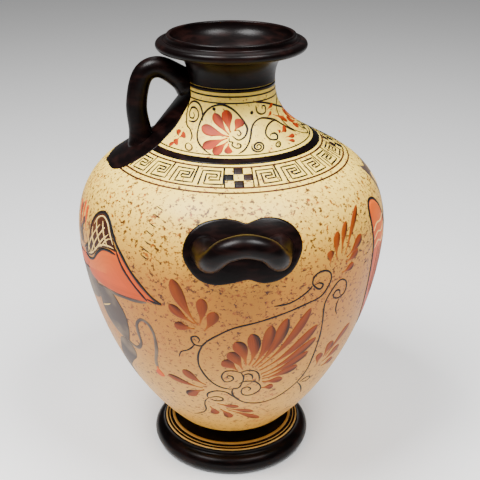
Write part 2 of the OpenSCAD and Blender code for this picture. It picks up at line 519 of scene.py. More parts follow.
@dataclass
class ThrownPot:
    """The five turned pieces: foot, belly, shoulder, neck and mouth."""

    shape: JarShape
    trees: ClayTrees
    foot_edge_t: float = 13.0 * MM
    stem_r: float = 33.0 * MM
    foot_top_r: float = 49.7 * MM
    rest_w: float = 10.0 * MM
    foot_hollow: float = 9.0 * MM

    def turn(self, name: str, section: Sequence[Point], finish: bpy.types.Material) -> bpy.types.Object:
        """Turn a cross-section into a piece that stands for its CAD node.

        Args:
            name: The node's name.
            section: Radius and height of each point of the closed cross-section, in metres.
            finish: The material.

        Returns:
            The finished piece.
        """
        section = [(max(r, 0.0), z) for r, z in section]
        section.append(section[0])
        piece = turn_section(self.trees, name, section, self.shape.turns, finish, f"{name}_clay")
        piece.data.set_sharp_from_angle(angle=math.radians(38))
        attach(piece, "root")
        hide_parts(name)
        log.info("%s: %d faces", piece.name, len(piece.data.polygons))
        return piece

    def wall_section(self, curve: Sequence[Point]) -> list[Point]:
        """Return the cross-section of a wall of even thickness."""
        outer = self.shape.along(curve)
        return outer + self.shape.inset(outer, self.shape.wall)[::-1]

    def belly_section(self) -> list[Point]:
        """Return the cross-section of the belly with its floor."""
        s = self.shape
        outer = s.along(s.belly)
        floor_z = s.seat_z + s.floor
        inner = [p for p in s.inset(outer, s.wall) if p[1] > floor_z + MM][::-1]
        corner = smooth([inner[-1], (inner[-1][0] - 2.5 * MM, floor_z), (inner[-1][0] - 8 * MM, floor_z)],
                        MM)[1:]
        return ([(0.0, s.seat_z), (self.stem_r, s.seat_z)] + outer + inner + corner
                + [(0.0, floor_z)])

    def foot_skin(self) -> list[Point]:
        """Return the top of the foot, from its rounded edge in to the seat of the belly."""
        s = self.shape
        edge = self.foot_edge_t / 2
        top_z = self.foot_edge_t + 2.5 * MM
        rounded = arc((s.foot_r - edge, edge), edge, -70, 72, 28)
        step = smooth([rounded[-1], (self.foot_top_r + 1.2 * MM, self.foot_edge_t + 0.3 * MM),
                       (self.foot_top_r + 0.35 * MM, self.foot_edge_t + 1.2 * MM),
                       (self.foot_top_r, top_z)], 0.3 * MM)[1:]
        curve = [(self.foot_top_r - MM, top_z + 0.5 * MM),
                 (mix(self.foot_top_r, self.stem_r, 0.55), top_z + 3.5 * MM),
                 (self.stem_r, mix(top_z, s.seat_z, 0.6)), (self.stem_r, s.seat_z)]
        return rounded + step + [bezier(curve, i / 50) for i in range(51)]

    def foot_section(self) -> list[Point]:
        """Return the cross-section of the foot with the hollow under it."""
        rest_r = self.shape.foot_r - self.foot_edge_t * 0.4
        hollow_r = rest_r - self.rest_w
        under = smooth([(hollow_r - 6 * MM, self.foot_hollow), (hollow_r - 3 * MM, self.foot_hollow * 0.62),
                        (hollow_r, 0.0)], 0.5 * MM)
        return ([(0.0, self.foot_hollow)] + under + [(rest_r, 0.0)] + self.foot_skin()
                + [(0.0, self.shape.seat_z)])

    def mouth_section(self) -> list[Point]:
        """Return the cross-section of the mouth: flare, lip, raised crest and funnel."""
        s = self.shape
        flare = [(s.throat_r, s.throat_z), (s.throat_r, mix(s.throat_z, s.lip_z, 0.4)),
                 (s.throat_r + 2.5 * MM, mix(s.throat_z, s.lip_z, 0.72)),
                 (s.throat_r + 10 * MM, s.lip_z - s.lip_t / 2 - 0.8 * MM)]
        round_r = s.lip_t / 2
        crest_r = s.lip_t * 0.2
        crest = (s.crest_r, s.crest_z - crest_r)
        groove_z = crest[1] - s.crest_rise * 0.6
        funnel = [(crest[0] - crest_r, crest[1]),
                  (crest[0] - 2 * crest_r, mix(s.throat_z, s.crest_z, 0.55)),
                  (s.throat_r - s.wall, mix(s.throat_z, s.crest_z, 0.65)),
                  (s.throat_r - s.wall, s.throat_z)]
        lip = arc((s.mouth_r - round_r, s.lip_z), round_r, -90, 78, 24)
        ring_r = mix(crest[0] + crest_r, lip[-1][0], 0.45)
        ring_z = mix(groove_z, lip[-1][1], 0.3)
        step = smooth([lip[-1], (ring_r + 0.7 * MM, ring_z + 0.1 * MM),
                       (ring_r + 0.1 * MM, ring_z - 0.35 * MM),
                       (ring_r - 0.6 * MM, ring_z + 0.15 * MM), (crest[0] + crest_r + 0.5 * MM, groove_z),
                       (crest[0] + crest_r, groove_z + 0.5 * MM)], 0.25 * MM)[1:]
        return (self.shape.along(flare) + lip + step + arc(crest, crest_r, 0, 180)
                + self.shape.along(funnel))

    def make(self, cream: bpy.types.Material, gloss: bpy.types.Material) -> None:
        """Turn and dress all five pieces."""
        s = self.shape
        self.turn("foot", self.foot_section(), gloss)
        self.turn("belly", self.belly_section(), cream)
        self.turn("shoulder", self.wall_section(s.shoulder), cream)
        self.turn("neck", self.wall_section(s.neck), cream)
        self.turn("mouth", self.mouth_section(), gloss)


@dataclass
class PulledHandles:
    """The upright back handle and the two upturned side handles."""

    shape: JarShape
    trees: ClayTrees
    back_reach: float = 61.4 * MM
    arch_rise: float = 8.0 * MM
    back_foot_at: float = 0.25
    side_at: float = 0.25
    side_half_span: float = 21.0 * MM
    side_reach: float = 21.5 * MM
    side_lift: float = 13.0 * MM
    flare: float = 0.4

    def back_line(self) -> list[tuple]:
        """Return the centre line of the back handle, from the shoulder up to the throat."""
        s = self.shape
        foot = bezier(s.neck, self.back_foot_at)
        line = [
            (foot[0] - MM, foot[1] - s.wall - 2 * MM),
            (foot[0] + 0.5 * MM, foot[1] + 6 * MM),
            (self.back_reach, mix(foot[1], s.throat_z, 0.6)),
            (self.back_reach - 4.5 * MM, s.throat_z + self.arch_rise * 0.35),
            (mix(s.throat_r, self.back_reach, 0.55), s.throat_z + self.arch_rise),
            (s.throat_r + 5 * MM, s.throat_z + self.arch_rise * 0.15),
            (s.throat_r - 3.5 * MM, s.throat_z - s.rod_r)]
        return [(-r, 0.0, z) for r, z in smooth(line, MM)]

    def side_line(self, way: int) -> list[tuple]:
        """Return the centre line of a side handle.

        Args:
            way: 1 for the handle on +Y, -1 for the one on -Y.

        Returns:
            Points in metres.
        """
        root_r, root_z = bezier(self.shape.shoulder, self.side_at)
        half = [
            (self.side_half_span, -9 * MM, -1 * MM),
            (self.side_half_span, 0.0, -1.2 * MM),
            (self.side_half_span * 0.97, self.side_reach * 0.42, -0.8 * MM),
            (self.side_half_span * 0.85, self.side_reach * 0.78, self.side_lift * 0.25),
            (self.side_half_span * 0.56, self.side_reach * 0.96, self.side_lift * 0.76),
            (0.0, self.side_reach, self.side_lift)]
        whole = half + [(-x, out, up) for x, out, up in half[-2::-1]]
        return [(x, way * (root_r + out), root_z + up) for x, out, up in smooth(whole, MM)]

    def pull(self, node: str, line: Sequence[tuple], finish: bpy.types.Material) -> None:
        """Sweep one handle along its line and let it stand for its CAD node."""
        values = {"Radius": self.shape.rod_r, "Flare": self.flare,
                  "Flare length": self.shape.rod_r * 0.9, "Buried": self.shape.wall,
                  "Finish": finish}
        piece = bake(polyline(f"{node}_line", line), self.trees.pulled, values, f"{node}_rod")
        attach(piece, "root")
        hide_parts(node)
        log.info("%s: %d faces", piece.name, len(piece.data.polygons))

    def make(self, gloss: bpy.types.Material) -> None:
        """Pull all three handles."""
        self.pull("back_handle", self.back_line(), gloss)
        self.pull("side_handle_left", self.side_line(1), gloss)
        self.pull("side_handle_right", self.side_line(-1), gloss)


# ---- Slip drawn on the clay -----------------------------------------------------------------


@dataclass(frozen=True)
class Petal:
    """One loaded brush stroke: narrow at its base, broad and round at its tip.

    Distances are in millimetres. The bend moves the stroke's middle to its left.
    """

    base: Point
    tip: Point
    width: float
    bend: float = 0.0
    widest: float = 0.74


@dataclass(frozen=True)
class Line:
    """One drawn line through points in millimetres, thinner towards its two ends."""

    points: tuple[Point, ...]
    width: float = 1.0
    path: Path = Path.OPEN
    corners: bool = False


@dataclass
class SlipDrawing:
    """A drawing in slip, kept flat until a tree wraps it on the jar.

    Every stroke is a thin closed skin whose rim is sunk in the clay. Points are given as
    distance across from the anchor and distance up the clay, in millimetres.
    """

    shape: JarShape
    anchor: float
    mirrored: bool = False
    lift: float = 0.12
    sunk: float = 0.3
    step: float = 1.2
    seed: int = 7
    spots: list[tuple] = field(default_factory=list)
    faces: list[tuple] = field(default_factory=list)
    brush: list[tuple] = field(default_factory=list)

    def __post_init__(self) -> None:
        """Start the drawing's own run of chance."""
        self.chance = random.Random(self.seed)

    def spot(self, across: float, up: float, lift: float, brush: tuple) -> int:
        """Add one point and return its number.

        Args:
            across: Distance to the right of the anchor.
            up: Distance up the clay.
            lift: Height over the clay.
            brush: Place across the stroke from 0 to 1, place along it, and the stroke's chance.

        Returns:
            The number of the point.
        """
        angle = self.anchor + across * MM / self.shape.radius_at(up * MM)
        self.spots.append((-angle if self.mirrored else angle, up * MM, lift * MM))
        self.brush.append(brush)
        return len(self.spots) - 1

    def skin(self, rings: Sequence[Sequence[int]]) -> None:
        """Join rings of equal length into a tube and close its two ends."""
        count = len(rings[0])
        for low, high in zip(rings, rings[1:]):
            for k in range(count):
                after = (k + 1) % count
                self.faces.append((low[k], low[after], high[after], high[k]))
        self.faces.append(tuple(rings[0][::-1]))
        self.faces.append(tuple(rings[-1]))

    def ribbon(self, path: Sequence[Point], widths: Sequence[float], columns: int,
               dome: float = 0.0) -> None:
        """Lay a ribbon of slip along a path.

        Args:
            path: Points of the middle of the ribbon.
            widths: Width of the ribbon at each point.
            columns: How many points its upper side has across.
            dome: How much higher the middle is than the edges.
        """
        chance = self.chance.random()
        rings = []
        run = 0.0
        whole = sum(math.dist(a, b) for a, b in zip(path, path[1:]))
        for i, (x, y) in enumerate(path):
            a, b = path[max(i - 1, 0)], path[min(i + 1, len(path) - 1)]
            length = math.dist(a, b) or 1.0
            side = ((b[1] - a[1]) / length, (a[0] - b[0]) / length)
            half = widths[i] / 2
            run += math.dist(path[i - 1], (x, y)) if i else 0.0
            ring = []
            for k in range(columns + 2):
                share = min(max((k - 1) / (columns - 1), 0.0), 1.0)
                rim = k in (0, columns + 1)
                off = mix(-half, half, share) * (1.12 if rim else 1.0)
                high = -self.sunk if rim else self.lift + dome * (1 - (2 * share - 1) ** 2)
                ring.append(self.spot(x + side[0] * off, y + side[1] * off, high,
                                      (share, run / whole, chance)))
            rings.append(ring)
        self.skin(rings)

    def line(self, line: Line, taper: float = 4.0) -> None:
        """Draw one line."""
        points = line.points + line.points[:1] if line.path is Path.CLOSED else line.points
        if line.corners:
            path = [tuple(mix(p, q, i / 3) for p, q in zip(a, b))
                    for a, b in zip(points, points[1:]) for i in range(3)] + [points[-1]]
        elif line.path is Path.CLOSED:
            path = smooth(line.points, self.step, Path.CLOSED)
            path = path + path[:2]
        else:
            path = smooth(points, self.step)
        runs = [0.0]
        for a, b in zip(path, path[1:]):
            runs.append(runs[-1] + math.dist(a, b))
        sway = self.chance.random() * FULL_TURN
        widths = []
        for run in runs:
            end = min(run, runs[-1] - run) / taper
            share = 1.0 if line.corners or line.path is Path.CLOSED else min(1.0, 0.4 + 0.6 * end)
            widths.append(line.width * share * (1 + 0.12 * math.sin(run / 3.1 + sway)))
        self.ribbon(path, widths, 2)

    def lines(self, lines: Iterable[Line]) -> None:
        """Draw several lines."""
        for one in lines:
            self.line(one)

    def petal(self, petal: Petal, dome: float = 0.1) -> None:
        """Lay one petal down."""
        (x0, y0), (x1, y1) = petal.base, petal.tip
        length = math.dist(petal.base, petal.tip)
        left = ((y0 - y1) / length, (x1 - x0) / length)
        bulge = [mix(x0, x1, 0.5) + 2 * petal.bend * left[0], mix(y0, y1, 0.5) + 2 * petal.bend * left[1]]
        cuts = max(10, round(length / 1.1))
        path, widths = [], []
        for i in range(cuts + 1):
            t = i / cuts * (2 - i / cuts)
            path.append(tuple((1 - t) ** 2 * p + 2 * t * (1 - t) * q + t * t * r
                              for p, q, r in zip(petal.base, bulge, petal.tip)))
            rise = min(max((t - 0.12) / (petal.widest - 0.12), 0.0), 1.0)
            full = 0.13 + 0.87 * rise * rise * (3 - 2 * rise)
            if t > petal.widest:
                full *= (1 - ((t - petal.widest) / (1 - petal.widest)) ** 2.2) ** 0.6
            widths.append(petal.width * max(full, 0.04))
        self.ribbon(path, widths, 7, dome)

    def petals(self, petals: Iterable[Petal]) -> None:
        """Lay several petals down."""
        for one in petals:
            self.petal(one)

    def patch(self, border: Sequence[Point], middle: Point, rings: int = 10) -> None:
        """Fill a rounded area that can be seen whole from its middle.

        Args:
            border: Points of its edge, joined smoothly.
            middle: A point inside it.
            rings: Rows of faces from the edge to the middle.
        """
        chance = self.chance.random()
        edge = smooth(border, self.step * 1.5, Path.CLOSED)
        rows = []
        for lift, shares in ((-self.sunk, (0.02, 1.0)),
                             (self.lift, [0.99 - 0.97 * i / rings for i in range(rings + 1)])):
            for share in shares:
                rows.append([self.spot(mix(middle[0], x, share), mix(middle[1], y, share), lift,
                                       (share, k / len(edge), chance))
                             for k, (x, y) in enumerate(edge)])
        self.skin(rows)

    def box_patch(self, left: float, right: float, low: float, high: float, columns: int = 3) -> None:
        """Fill an area between two distances across and two distances up."""
        self.ribbon([(mix(left, right, i / columns), (low + high) / 2) for i in range(columns + 1)],
                    [high - low] * (columns + 1), max(2, round((high - low) / 2) + 1))

    def dot(self, middle: Point, radius: float) -> None:
        """Drop one round dot."""
        border = [(middle[0] + radius * math.cos(a * FULL_TURN / 8),
                   middle[1] + radius * math.sin(a * FULL_TURN / 8)) for a in range(8)]
        self.patch(border, middle, 2)

    def lay(self, trees: ClayTrees, outline: bpy.types.Object, name: str,
            finish: bpy.types.Material, copies: int = 1) -> bpy.types.Object:
        """Wrap the drawing on the jar.

        Args:
            trees: The trees that hold the wrapping tree.
            outline: The curve of the jar's outline.
            name: Name of the piece.
            finish: Material of the slip.
            copies: How many times the drawing goes round the jar.

        Returns:
            The finished piece.
        """
        flat = bpy.data.meshes.new(f"{name}_flat")
        flat.from_pydata(self.spots, [], self.faces)
        marks = flat.attributes.new("brush", "FLOAT_VECTOR", "POINT")
        marks.data.foreach_set("vector", [value for mark in self.brush for value in mark])
        piece = bake(flat, trees.wrapped, {
            "Outline": outline, "Copies": copies, "Step": FULL_TURN / copies,
            "Finish": finish}, name)
        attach(piece, "root")
        log.info("%s: %d points, %d faces", name, len(self.spots), len(piece.data.polygons))
        return piece


# ---- What is painted ------------------------------------------------------------------------


@dataclass(frozen=True)
class Finishes:
    """The materials of the whole jar."""

    cream: bpy.types.Material
    gloss: bpy.types.Material
    ink: bpy.types.Material
    umber: bpy.types.Material
    gold: bpy.types.Material
    ash: bpy.types.Material
    rust: bpy.types.Material
    vermilion: bpy.types.Material
    wing: bpy.types.Material


@dataclass
class Bench:
    """What every ornament needs: the jar, the trees, the outline to wrap on and the finishes."""

    shape: JarShape
    trees: ClayTrees
    outline: bpy.types.Object
    finishes: Finishes

    def drawing(self, anchor: float, mirrored: bool = False, **settings: float) -> SlipDrawing:
        """Start a flat drawing at an azimuth."""
        return SlipDrawing(self.shape, anchor, mirrored, **settings)

    def lay(self, drawing: SlipDrawing, name: str, finish: bpy.types.Material, copies: int = 1) -> None:
        """Wrap a finished drawing on the jar."""
        drawing.lay(self.trees, self.outline, name, finish, copies)


@dataclass
class Rings:
    """The bands that run round the foot and the neck."""

    shape: JarShape
    pot: ThrownPot
    trees: ClayTrees
    lift: float = 0.1 * MM

    def band(self, name: str, points: Sequence[Point], finish: bpy.types.Material) -> None:
        """Turn one band of slip.

        Args:
            name: Name of the piece.
            points: Radius and height along the clay under the band, in metres, upwards or inwards.
            finish: Material of the band.
        """
        section = self.shape.inset(points, -self.lift) + self.shape.inset(points, 4 * self.lift)[::-1]
        section.append(section[0])
        piece = turn_section(self.trees, name, section, self.shape.turns, finish, name)
        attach(piece, "root")

    def on_body(self, name: str, low: float, high: float, finish: bpy.types.Material) -> None:
        """Turn a band between two distances up the clay, in millimetres."""
        cuts = max(1, round((high - low) / 1.2))
        points = [self.shape.place_at(mix(low, high, i / cuts) * MM) for i in range(cuts + 1)]
        self.band(name, points, finish)

    def on_foot(self, name: str, outer: float, inner: float, finish: bpy.types.Material) -> None:
        """Turn a band on top of the foot between two radii, in millimetres."""
        skin = [p for p in self.pot.foot_skin() if p[1] > self.pot.foot_edge_t * 0.9]
        points = [p for p in skin if inner * MM <= p[0] <= outer * MM]
        self.band(name, points, finish)

    def make(self, finishes: Finishes) -> None:
        """Turn every band."""
        self.on_foot("foot_ring_wide", 49.6, 47.5, finishes.gold)
        self.on_foot("foot_ring_thin", 46.5, 45.4, finishes.gold)
        self.on_foot("foot_ring_inner", 44.2, 41.8, finishes.gold)
        self.on_body("seam_line_low", 217.4, 218.6, finishes.umber)
        self.on_body("seam_line_high", 221.3, 222.5, finishes.umber)
        self.on_body("key_line_top", 237.4, 238.6, finishes.umber)
        self.on_body("frieze_band", 240.2, 245.3, finishes.gloss)
        self.on_body("frieze_line", 247.2, 248.1, finishes.ink)
        self.on_body("throat_line_low", 282.9, 283.8, finishes.ink)
        self.on_body("throat_line_high", 286.8, 287.8, finishes.ink)
        self.on_body("throat_black", 289.7, 292.0, finishes.gloss)


@dataclass
class KeyBand:
    """The running key pattern on the seam, with four checkered panels."""

    low: float = 222.4
    high: float = 237.6
    panel_deg: float = 14.0
    keys: int = 5
    key_deg: float = 15.2
    line: float = 1.15
    outer_path: tuple[Point, ...] = (
        (0.97, 1.0), (0.97, 0.15), (0.33, 0.13), (0.33, 0.66), (0.73, 0.66), (0.73, 0.51),
        (0.46, 0.51), (0.46, 0.39))
    inner_path: tuple[Point, ...] = ((0.14, 0.06), (0.16, 0.83), (0.86, 0.83), (0.83, 0.37), (0.49, 0.35))

    def draw(self, drawing: SlipDrawing) -> None:
        """Draw one quarter of the band, to the right of the panel at the drawing's anchor."""
        start = drawing.anchor
        width = math.radians(self.key_deg) * drawing.shape.seam_r / MM * 0.96
        for k in range(self.keys):
            drawing.anchor = start + math.radians(self.panel_deg / 2 + (k + 0.5) * self.key_deg)
            for path in (self.outer_path, self.inner_path):
                points = []
                for u, h in path:
                    up = mix(self.low, self.high, h)
                    narrow = drawing.shape.radius_at(up * MM) / drawing.shape.seam_r
                    points.append(((u - 0.5) * width * narrow, up))
                drawing.line(Line(tuple(points), self.line, corners=True))
        drawing.anchor = start

    def panel(self, drawing: SlipDrawing) -> None:
        """Draw one checkered panel at the anchor."""
        half = math.radians(self.panel_deg / 2) * drawing.shape.seam_r / MM * 0.92
        cuts = (self.low, mix(self.low, self.high, 0.34), mix(self.low, self.high, 0.67), self.high)
        for column in range(3):
            for row in range(3):
                if (column + row) % 2:
                    drawing.box_patch(mix(-half, half, column / 3), mix(-half, half, (column + 1) / 3),
                                      cuts[row], cuts[row + 1])
        for side in (-half, half):
            drawing.line(Line(((side, self.low), (side * 0.94, self.high)), 0.9, corners=True))

    def make(self, bench: Bench) -> None:
        """Lay the keys, then the panels, each repeated four times round the jar."""
        for name, seed, draw in (("key_band", 23, self.draw), ("checker_panels", 29, self.panel)):
            drawing = bench.drawing(Side.RIGHT.value, lift=0.1, seed=seed)
            draw(drawing)
            bench.lay(drawing, name, bench.finishes.ink, copies=4)


@dataclass
class SideOrnament:
    """Palmette, tendrils, sprays and handle patch of one side of the jar."""

    handle_patch: tuple[Point, ...] = (
        (37, 181), (33, 192), (24, 199), (14, 201), (7, 199.5), (2.5, 198), (-3, 200), (-12, 201),
        (-24, 197.5), (-33, 189), (-36, 178), (-32, 169), (-25, 162.5), (-16, 160.5), (-6, 162),
        (3, 164), (9, 162), (15, 161), (24, 163), (32, 169))
    fan: tuple[Petal, ...] = (
        Petal((-2, 93), (-12, 102), 8.0, -0.8), Petal((1, 94), (-8, 110), 8.0, -1.0),
        Petal((3, 98), (-4, 119), 8.6, -1.5), Petal((5, 98), (6, 125), 8.2, -2.5),
        Petal((7, 97), (18, 130), 7.8, -2.5), Petal((9, 96), (28, 134), 8.0, -2.5),
        Petal((11, 95), (44, 138), 6.4, -2.5), Petal((12, 92), (50, 123), 6.6, -1.6),
        Petal((13, 88), (50, 112), 6.4, -1.2), Petal((14, 85), (45, 101), 6.4, -0.8),
        Petal((14, 83), (38, 90), 6.4, -0.8), Petal((14, 80), (28, 80), 6.2, -0.8),
        Petal((14, 73), (22, 73), 6.0))
    sprays: tuple[Petal, ...] = (
        Petal((-27, 131), (-43, 162), 8.0, 1.5), Petal((-29, 132), (-45, 144), 6.5, 1.0),
        Petal((-29, 128), (-42, 130), 6.5, 0.8), Petal((-26, 131), (-25, 151), 7.0, -1.0),
        Petal((-23, 127), (-17, 142), 7.5, -1.0),
        Petal((-22, 77), (-37, 90), 6.5, 1.0), Petal((-24, 73), (-48, 81), 5.5, 1.0),
        Petal((-23, 71), (-34, 61), 8.0, -1.0),
        Petal((-14, 55), (0, 51), 4.5, -0.8), Petal((-8, 48), (10, 41.5), 5.0, 0.8),
        Petal((-7, 46), (15, 27.5), 5.5, 1.5), Petal((-12, 47), (-5, 33), 6.0, 1.0),
        Petal((-19, 50), (-15, 38), 6.0, 0.8),
        Petal((55, 83), (57, 94), 6.5, 0.8), Petal((60, 88), (67, 101), 7.0, 0.8),
        Petal((62, 88), (84, 109), 6.0, 1.0), Petal((60, 83), (76, 92), 7.0, -0.8),
        Petal((60, 78), (72, 80), 6.0, -0.8),
        Petal((57, 166), (57, 174), 5.5), Petal((62, 168), (63, 184), 5.5, 0.8),
        Petal((66, 170), (71, 188), 5.0, 0.8), Petal((69, 168), (84, 194), 5.0, 1.0),
        Petal((71, 166), (86, 176), 6.5, -0.8), Petal((70, 163), (82, 168), 5.5, -0.8),
        Petal((67, 157), (78, 160), 5.0, -0.8))
    tendrils: tuple[Line, ...] = (
        Line(((-1, 91), (5, 93), (10, 91), (12, 86), (12, 80))),
        Line(((1, 88), (5, 89.5), (7.5, 87), (7.5, 83.5)), 1.15),
        Line(((0, 91), (-5, 93), (-10, 92), (-12, 87), (-10, 82), (-7, 82), (-4.5, 84.5),
              (-5.5, 87.5), (-8, 88), (-8.5, 86), (-7, 85.5))),
        Line(((0, 91), (2, 86), (1, 80), (-1, 75), (-6, 73.5))),
        Line(((-1, 79), (2, 81.5), (8, 81.5), (12, 78), (13.5, 73), (11, 68), (6, 65.5), (2, 67),
              (1, 71), (2, 74.5), (5, 75.5), (7, 73), (5.5, 71))),
        Line(((-6, 73.5), (-13, 76), (-20, 83), (-26, 95), (-27, 105), (-25, 113), (-22, 118),
              (-15, 124), (-5, 130), (10, 134), (25, 138), (40, 142), (50, 144.5), (55, 149),
              (58, 155), (57, 160), (52, 162.5), (46, 161), (44, 156), (47, 152), (50, 150.5),
              (52, 153), (49, 155), (46, 154.5)), 1.2),
        Line(((44, 154), (42, 152), (36, 148), (28, 145), (19, 144.5)), 1.15),
        Line(((-4, 75), (-5, 70), (-3, 64), (2, 58), (8, 55), (15, 54), (25, 57), (35, 65),
              (42, 73), (47, 83), (50, 95), (52, 105), (53.5, 115), (54, 125), (54, 135), (55, 140),
              (58, 145), (63, 150.5), (67, 152), (71, 150), (72.5, 146), (71, 141), (67, 139),
              (63, 139.5), (61, 142), (63, 145), (66, 144.5), (67, 141)), 1.2),
        Line(((66.5, 138), (65, 135), (64.5, 130), (66, 125.5)), 1.15),
        Line(((40, 70), (44, 62), (46, 52)), 1.15),
        Line(((42, 69), (48, 72), (51, 70), (48, 67), (44, 68)), 1.15),
        Line(((-22, 117), (-25, 114.5), (-29, 115), (-31, 118), (-31, 121), (-28, 122),
              (-26, 119.5), (-27, 117)), 1.15),
        Line(((-29, 115), (-33, 110), (-38, 107), (-39.5, 102)), 1.15),
        Line(((0, 61), (-5, 66), (-9, 70), (-15, 71), (-20, 68), (-21, 64), (-20, 61.5)), 1.2),
        Line(((-20, 61.5), (-15, 64), (-11, 62.5), (-11, 59.5), (-15, 58.5), (-19, 60.5)), 1.15),
        Line(((-20, 61.5), (-22, 58), (-22.5, 52), (-21.5, 46), (-22.5, 41), (-26, 36),
              (-30, 33)), 1.0))

    def make(self, side: str, mirrored: bool, bench: Bench) -> None:
        """Lay the ornament of one side."""
        right = Side.RIGHT.value
        patch = bench.drawing(right, mirrored, seed=3)
        patch.patch(self.handle_patch, (0.0, 180.0), 16)
        bench.lay(patch, f"handle_patch_{side}", bench.finishes.gloss)
        petals = bench.drawing(right, mirrored, seed=5)
        petals.petals(self.fan + self.sprays)
        bench.lay(petals, f"petals_{side}", bench.finishes.rust)
        vines = bench.drawing(right, mirrored, lift=0.1, seed=11)
        vines.lines(self.tendrils)
        bench.lay(vines, f"tendrils_{side}", bench.finishes.ink)


@dataclass
class NeckFrieze:
    """Palmettes and tendrils that run round the neck, between the band and the throat."""

    petals: tuple[Petal, ...] = (
        Petal((-0.5, 266), (4, 273.5), 6.4), Petal((-3, 265), (-5, 279.5), 6.6, 0.5),
        Petal((-4, 263.5), (-13, 277), 6.0, 0.5), Petal((-4, 262), (-22, 267), 7.4),
        Petal((-5, 261), (-21, 252.5), 6.6, -0.5), Petal((-5, 258.5), (-14, 248.2), 5.8, -0.5),
        Petal((-4.5, 257), (-5, 249), 5.0, -0.3),
        Petal((-40.5, 257), (-41.5, 261.5), 4.6), Petal((-39.5, 256.5), (-34.5, 260), 4.6),
        Petal((-40, 256), (-43, 251), 5.0), Petal((-41, 254), (-48, 248.5), 2.5),
        Petal((23, 277), (29.5, 279.5), 2.6), Petal((23, 272.5), (27, 275), 2.4),
        Petal((28, 273), (45, 264.5), 2.8, 0.6), Petal((33, 260), (39, 262), 5.0),
        Petal((30, 262.5), (32.5, 260.5), 2.4), Petal((36, 256), (46, 254.5), 3.0),
        Petal((36, 254), (44, 251), 2.4))
    lines: tuple[Line, ...] = (
        Line(((-16, 248), (-20, 251), (-24, 256), (-25, 261), (-24, 267), (-22, 272), (-19, 277),
              (-14, 281), (-8, 282.5), (-3, 281), (1, 278), (5, 273), (7.5, 268), (7, 264),
              (5, 261), (2, 259.5), (0, 260.5), (-2, 262.5)), 1.25),
        Line(((0, 266), (2, 266.5), (3.5, 264), (2, 262.5), (1, 264)), 1.1),
        Line(((-4, 261), (-4, 258.5), (-2, 258), (-2.5, 255.5), (0, 253.5), (2.5, 254), (2.8, 256),
              (1, 257), (0.5, 255.5)), 1.1),
        Line(((-30, 256), (-29, 260), (-31, 264), (-34, 266), (-35.5, 270), (-36, 275), (-34, 279),
              (-29, 281.8), (-24, 281), (-21.5, 277), (-21, 271)), 1.25),
        Line(((-33, 269), (-28, 269.5), (-25, 272), (-24.5, 275.5), (-27, 278), (-31, 277.5),
              (-33, 274), (-32, 271.5), (-29, 271.5), (-28, 273.5), (-29.5, 275)), 1.1),
        Line(tuple(spiral((-31, 251.5), 2.8, 2.4, 1.0, 90)), 1.1),
        Line(((-44, 260.5), (-42, 258), (-40, 259.5)), 1.1),
        Line(((1, 249), (5, 252), (8, 257), (9.5, 262), (10.5, 267), (12.5, 270.5), (16, 272.5),
              (20, 272.5), (25, 271), (30, 269), (36, 265), (42, 261), (50, 256)), 1.25),
        Line(tuple(spiral((14, 253.5), 4.4, 0.6, 2.3, 160)), 1.25),
        Line(((14, 281), (15, 277), (18, 275.2), (21.5, 276), (21.5, 279.5), (19, 280), (19, 278)), 1.1),
        Line(((14, 283), (20, 282), (28, 279.5), (38, 276), (50, 272)), 1.25),
        Line(((30, 268.8), (26, 269), (22, 267), (20, 263), (21, 259.5), (24, 257), (28, 256.5),
              (29, 259), (27, 261), (24, 261), (23, 259.5)), 1.25),
        Line(tuple(spiral((28, 252.6), 2.5, 0.6, -1.6, 100)), 1.1))
    dots: tuple[Point, ...] = ((11, 277), (-13, 279.5))

    def make(self, name: str, anchor: float, mirrored: bool, bench: Bench) -> None:
        """Lay one run of the frieze with its middle at the anchor."""
        petals = bench.drawing(anchor, mirrored, step=0.9, seed=17)
        petals.petals(self.petals)
        bench.lay(petals, f"{name}_petals", bench.finishes.vermilion)
        vines = bench.drawing(anchor, mirrored, lift=0.1, step=0.8, seed=19)
        vines.lines(self.lines)
        for dot in self.dots:
            vines.dot(dot, 1.2)
        bench.lay(vines, f"{name}_tendrils", bench.finishes.ink)


@dataclass
class SmallPalmette:
    """An upright palmette with two curls, where two runs of the frieze meet."""

    low: float = 254.0
    count: int = 7
    reach: float = 19.0
    spread: float = 78.0

    def make(self, name: str, anchor: float, bench: Bench) -> None:
        """Lay the palmette with its middle at the anchor."""
        leaves = bench.drawing(anchor, step=0.9, seed=31)
        for k in range(self.count):
            share = 2 * k / (self.count - 1) - 1
            angle = math.radians(self.spread * share)
            reach = self.reach * (1 - 0.3 * abs(share))
            tip = (reach * math.sin(angle), self.low + 3 + reach * math.cos(angle))
            base = (3.2 * math.sin(angle), self.low + 3 + 3.2 * math.cos(angle))
            leaves.petal(Petal(base, tip, 5.4, -0.6 * share))
        bench.lay(leaves, f"{name}_petals", bench.finishes.vermilion)
        curls = bench.drawing(anchor, lift=0.1, step=0.8, seed=37)
        for way in (-1, 1):
            curls.line(Line(tuple((way * (x + 4), y) for x, y in
                                  spiral((0.0, self.low), 3.6, 0.7, 1.8, 180)), 0.9))
            curls.line(Line(((way * 0.4, self.low), (way * 9, 249), (way * 17, 254),
                             (way * 20, 264), (way * 15, 276), (way * 6, 281), (0, 281.5)), 1.0))
        bench.lay(curls, f"{name}_tendrils", bench.finishes.ink)


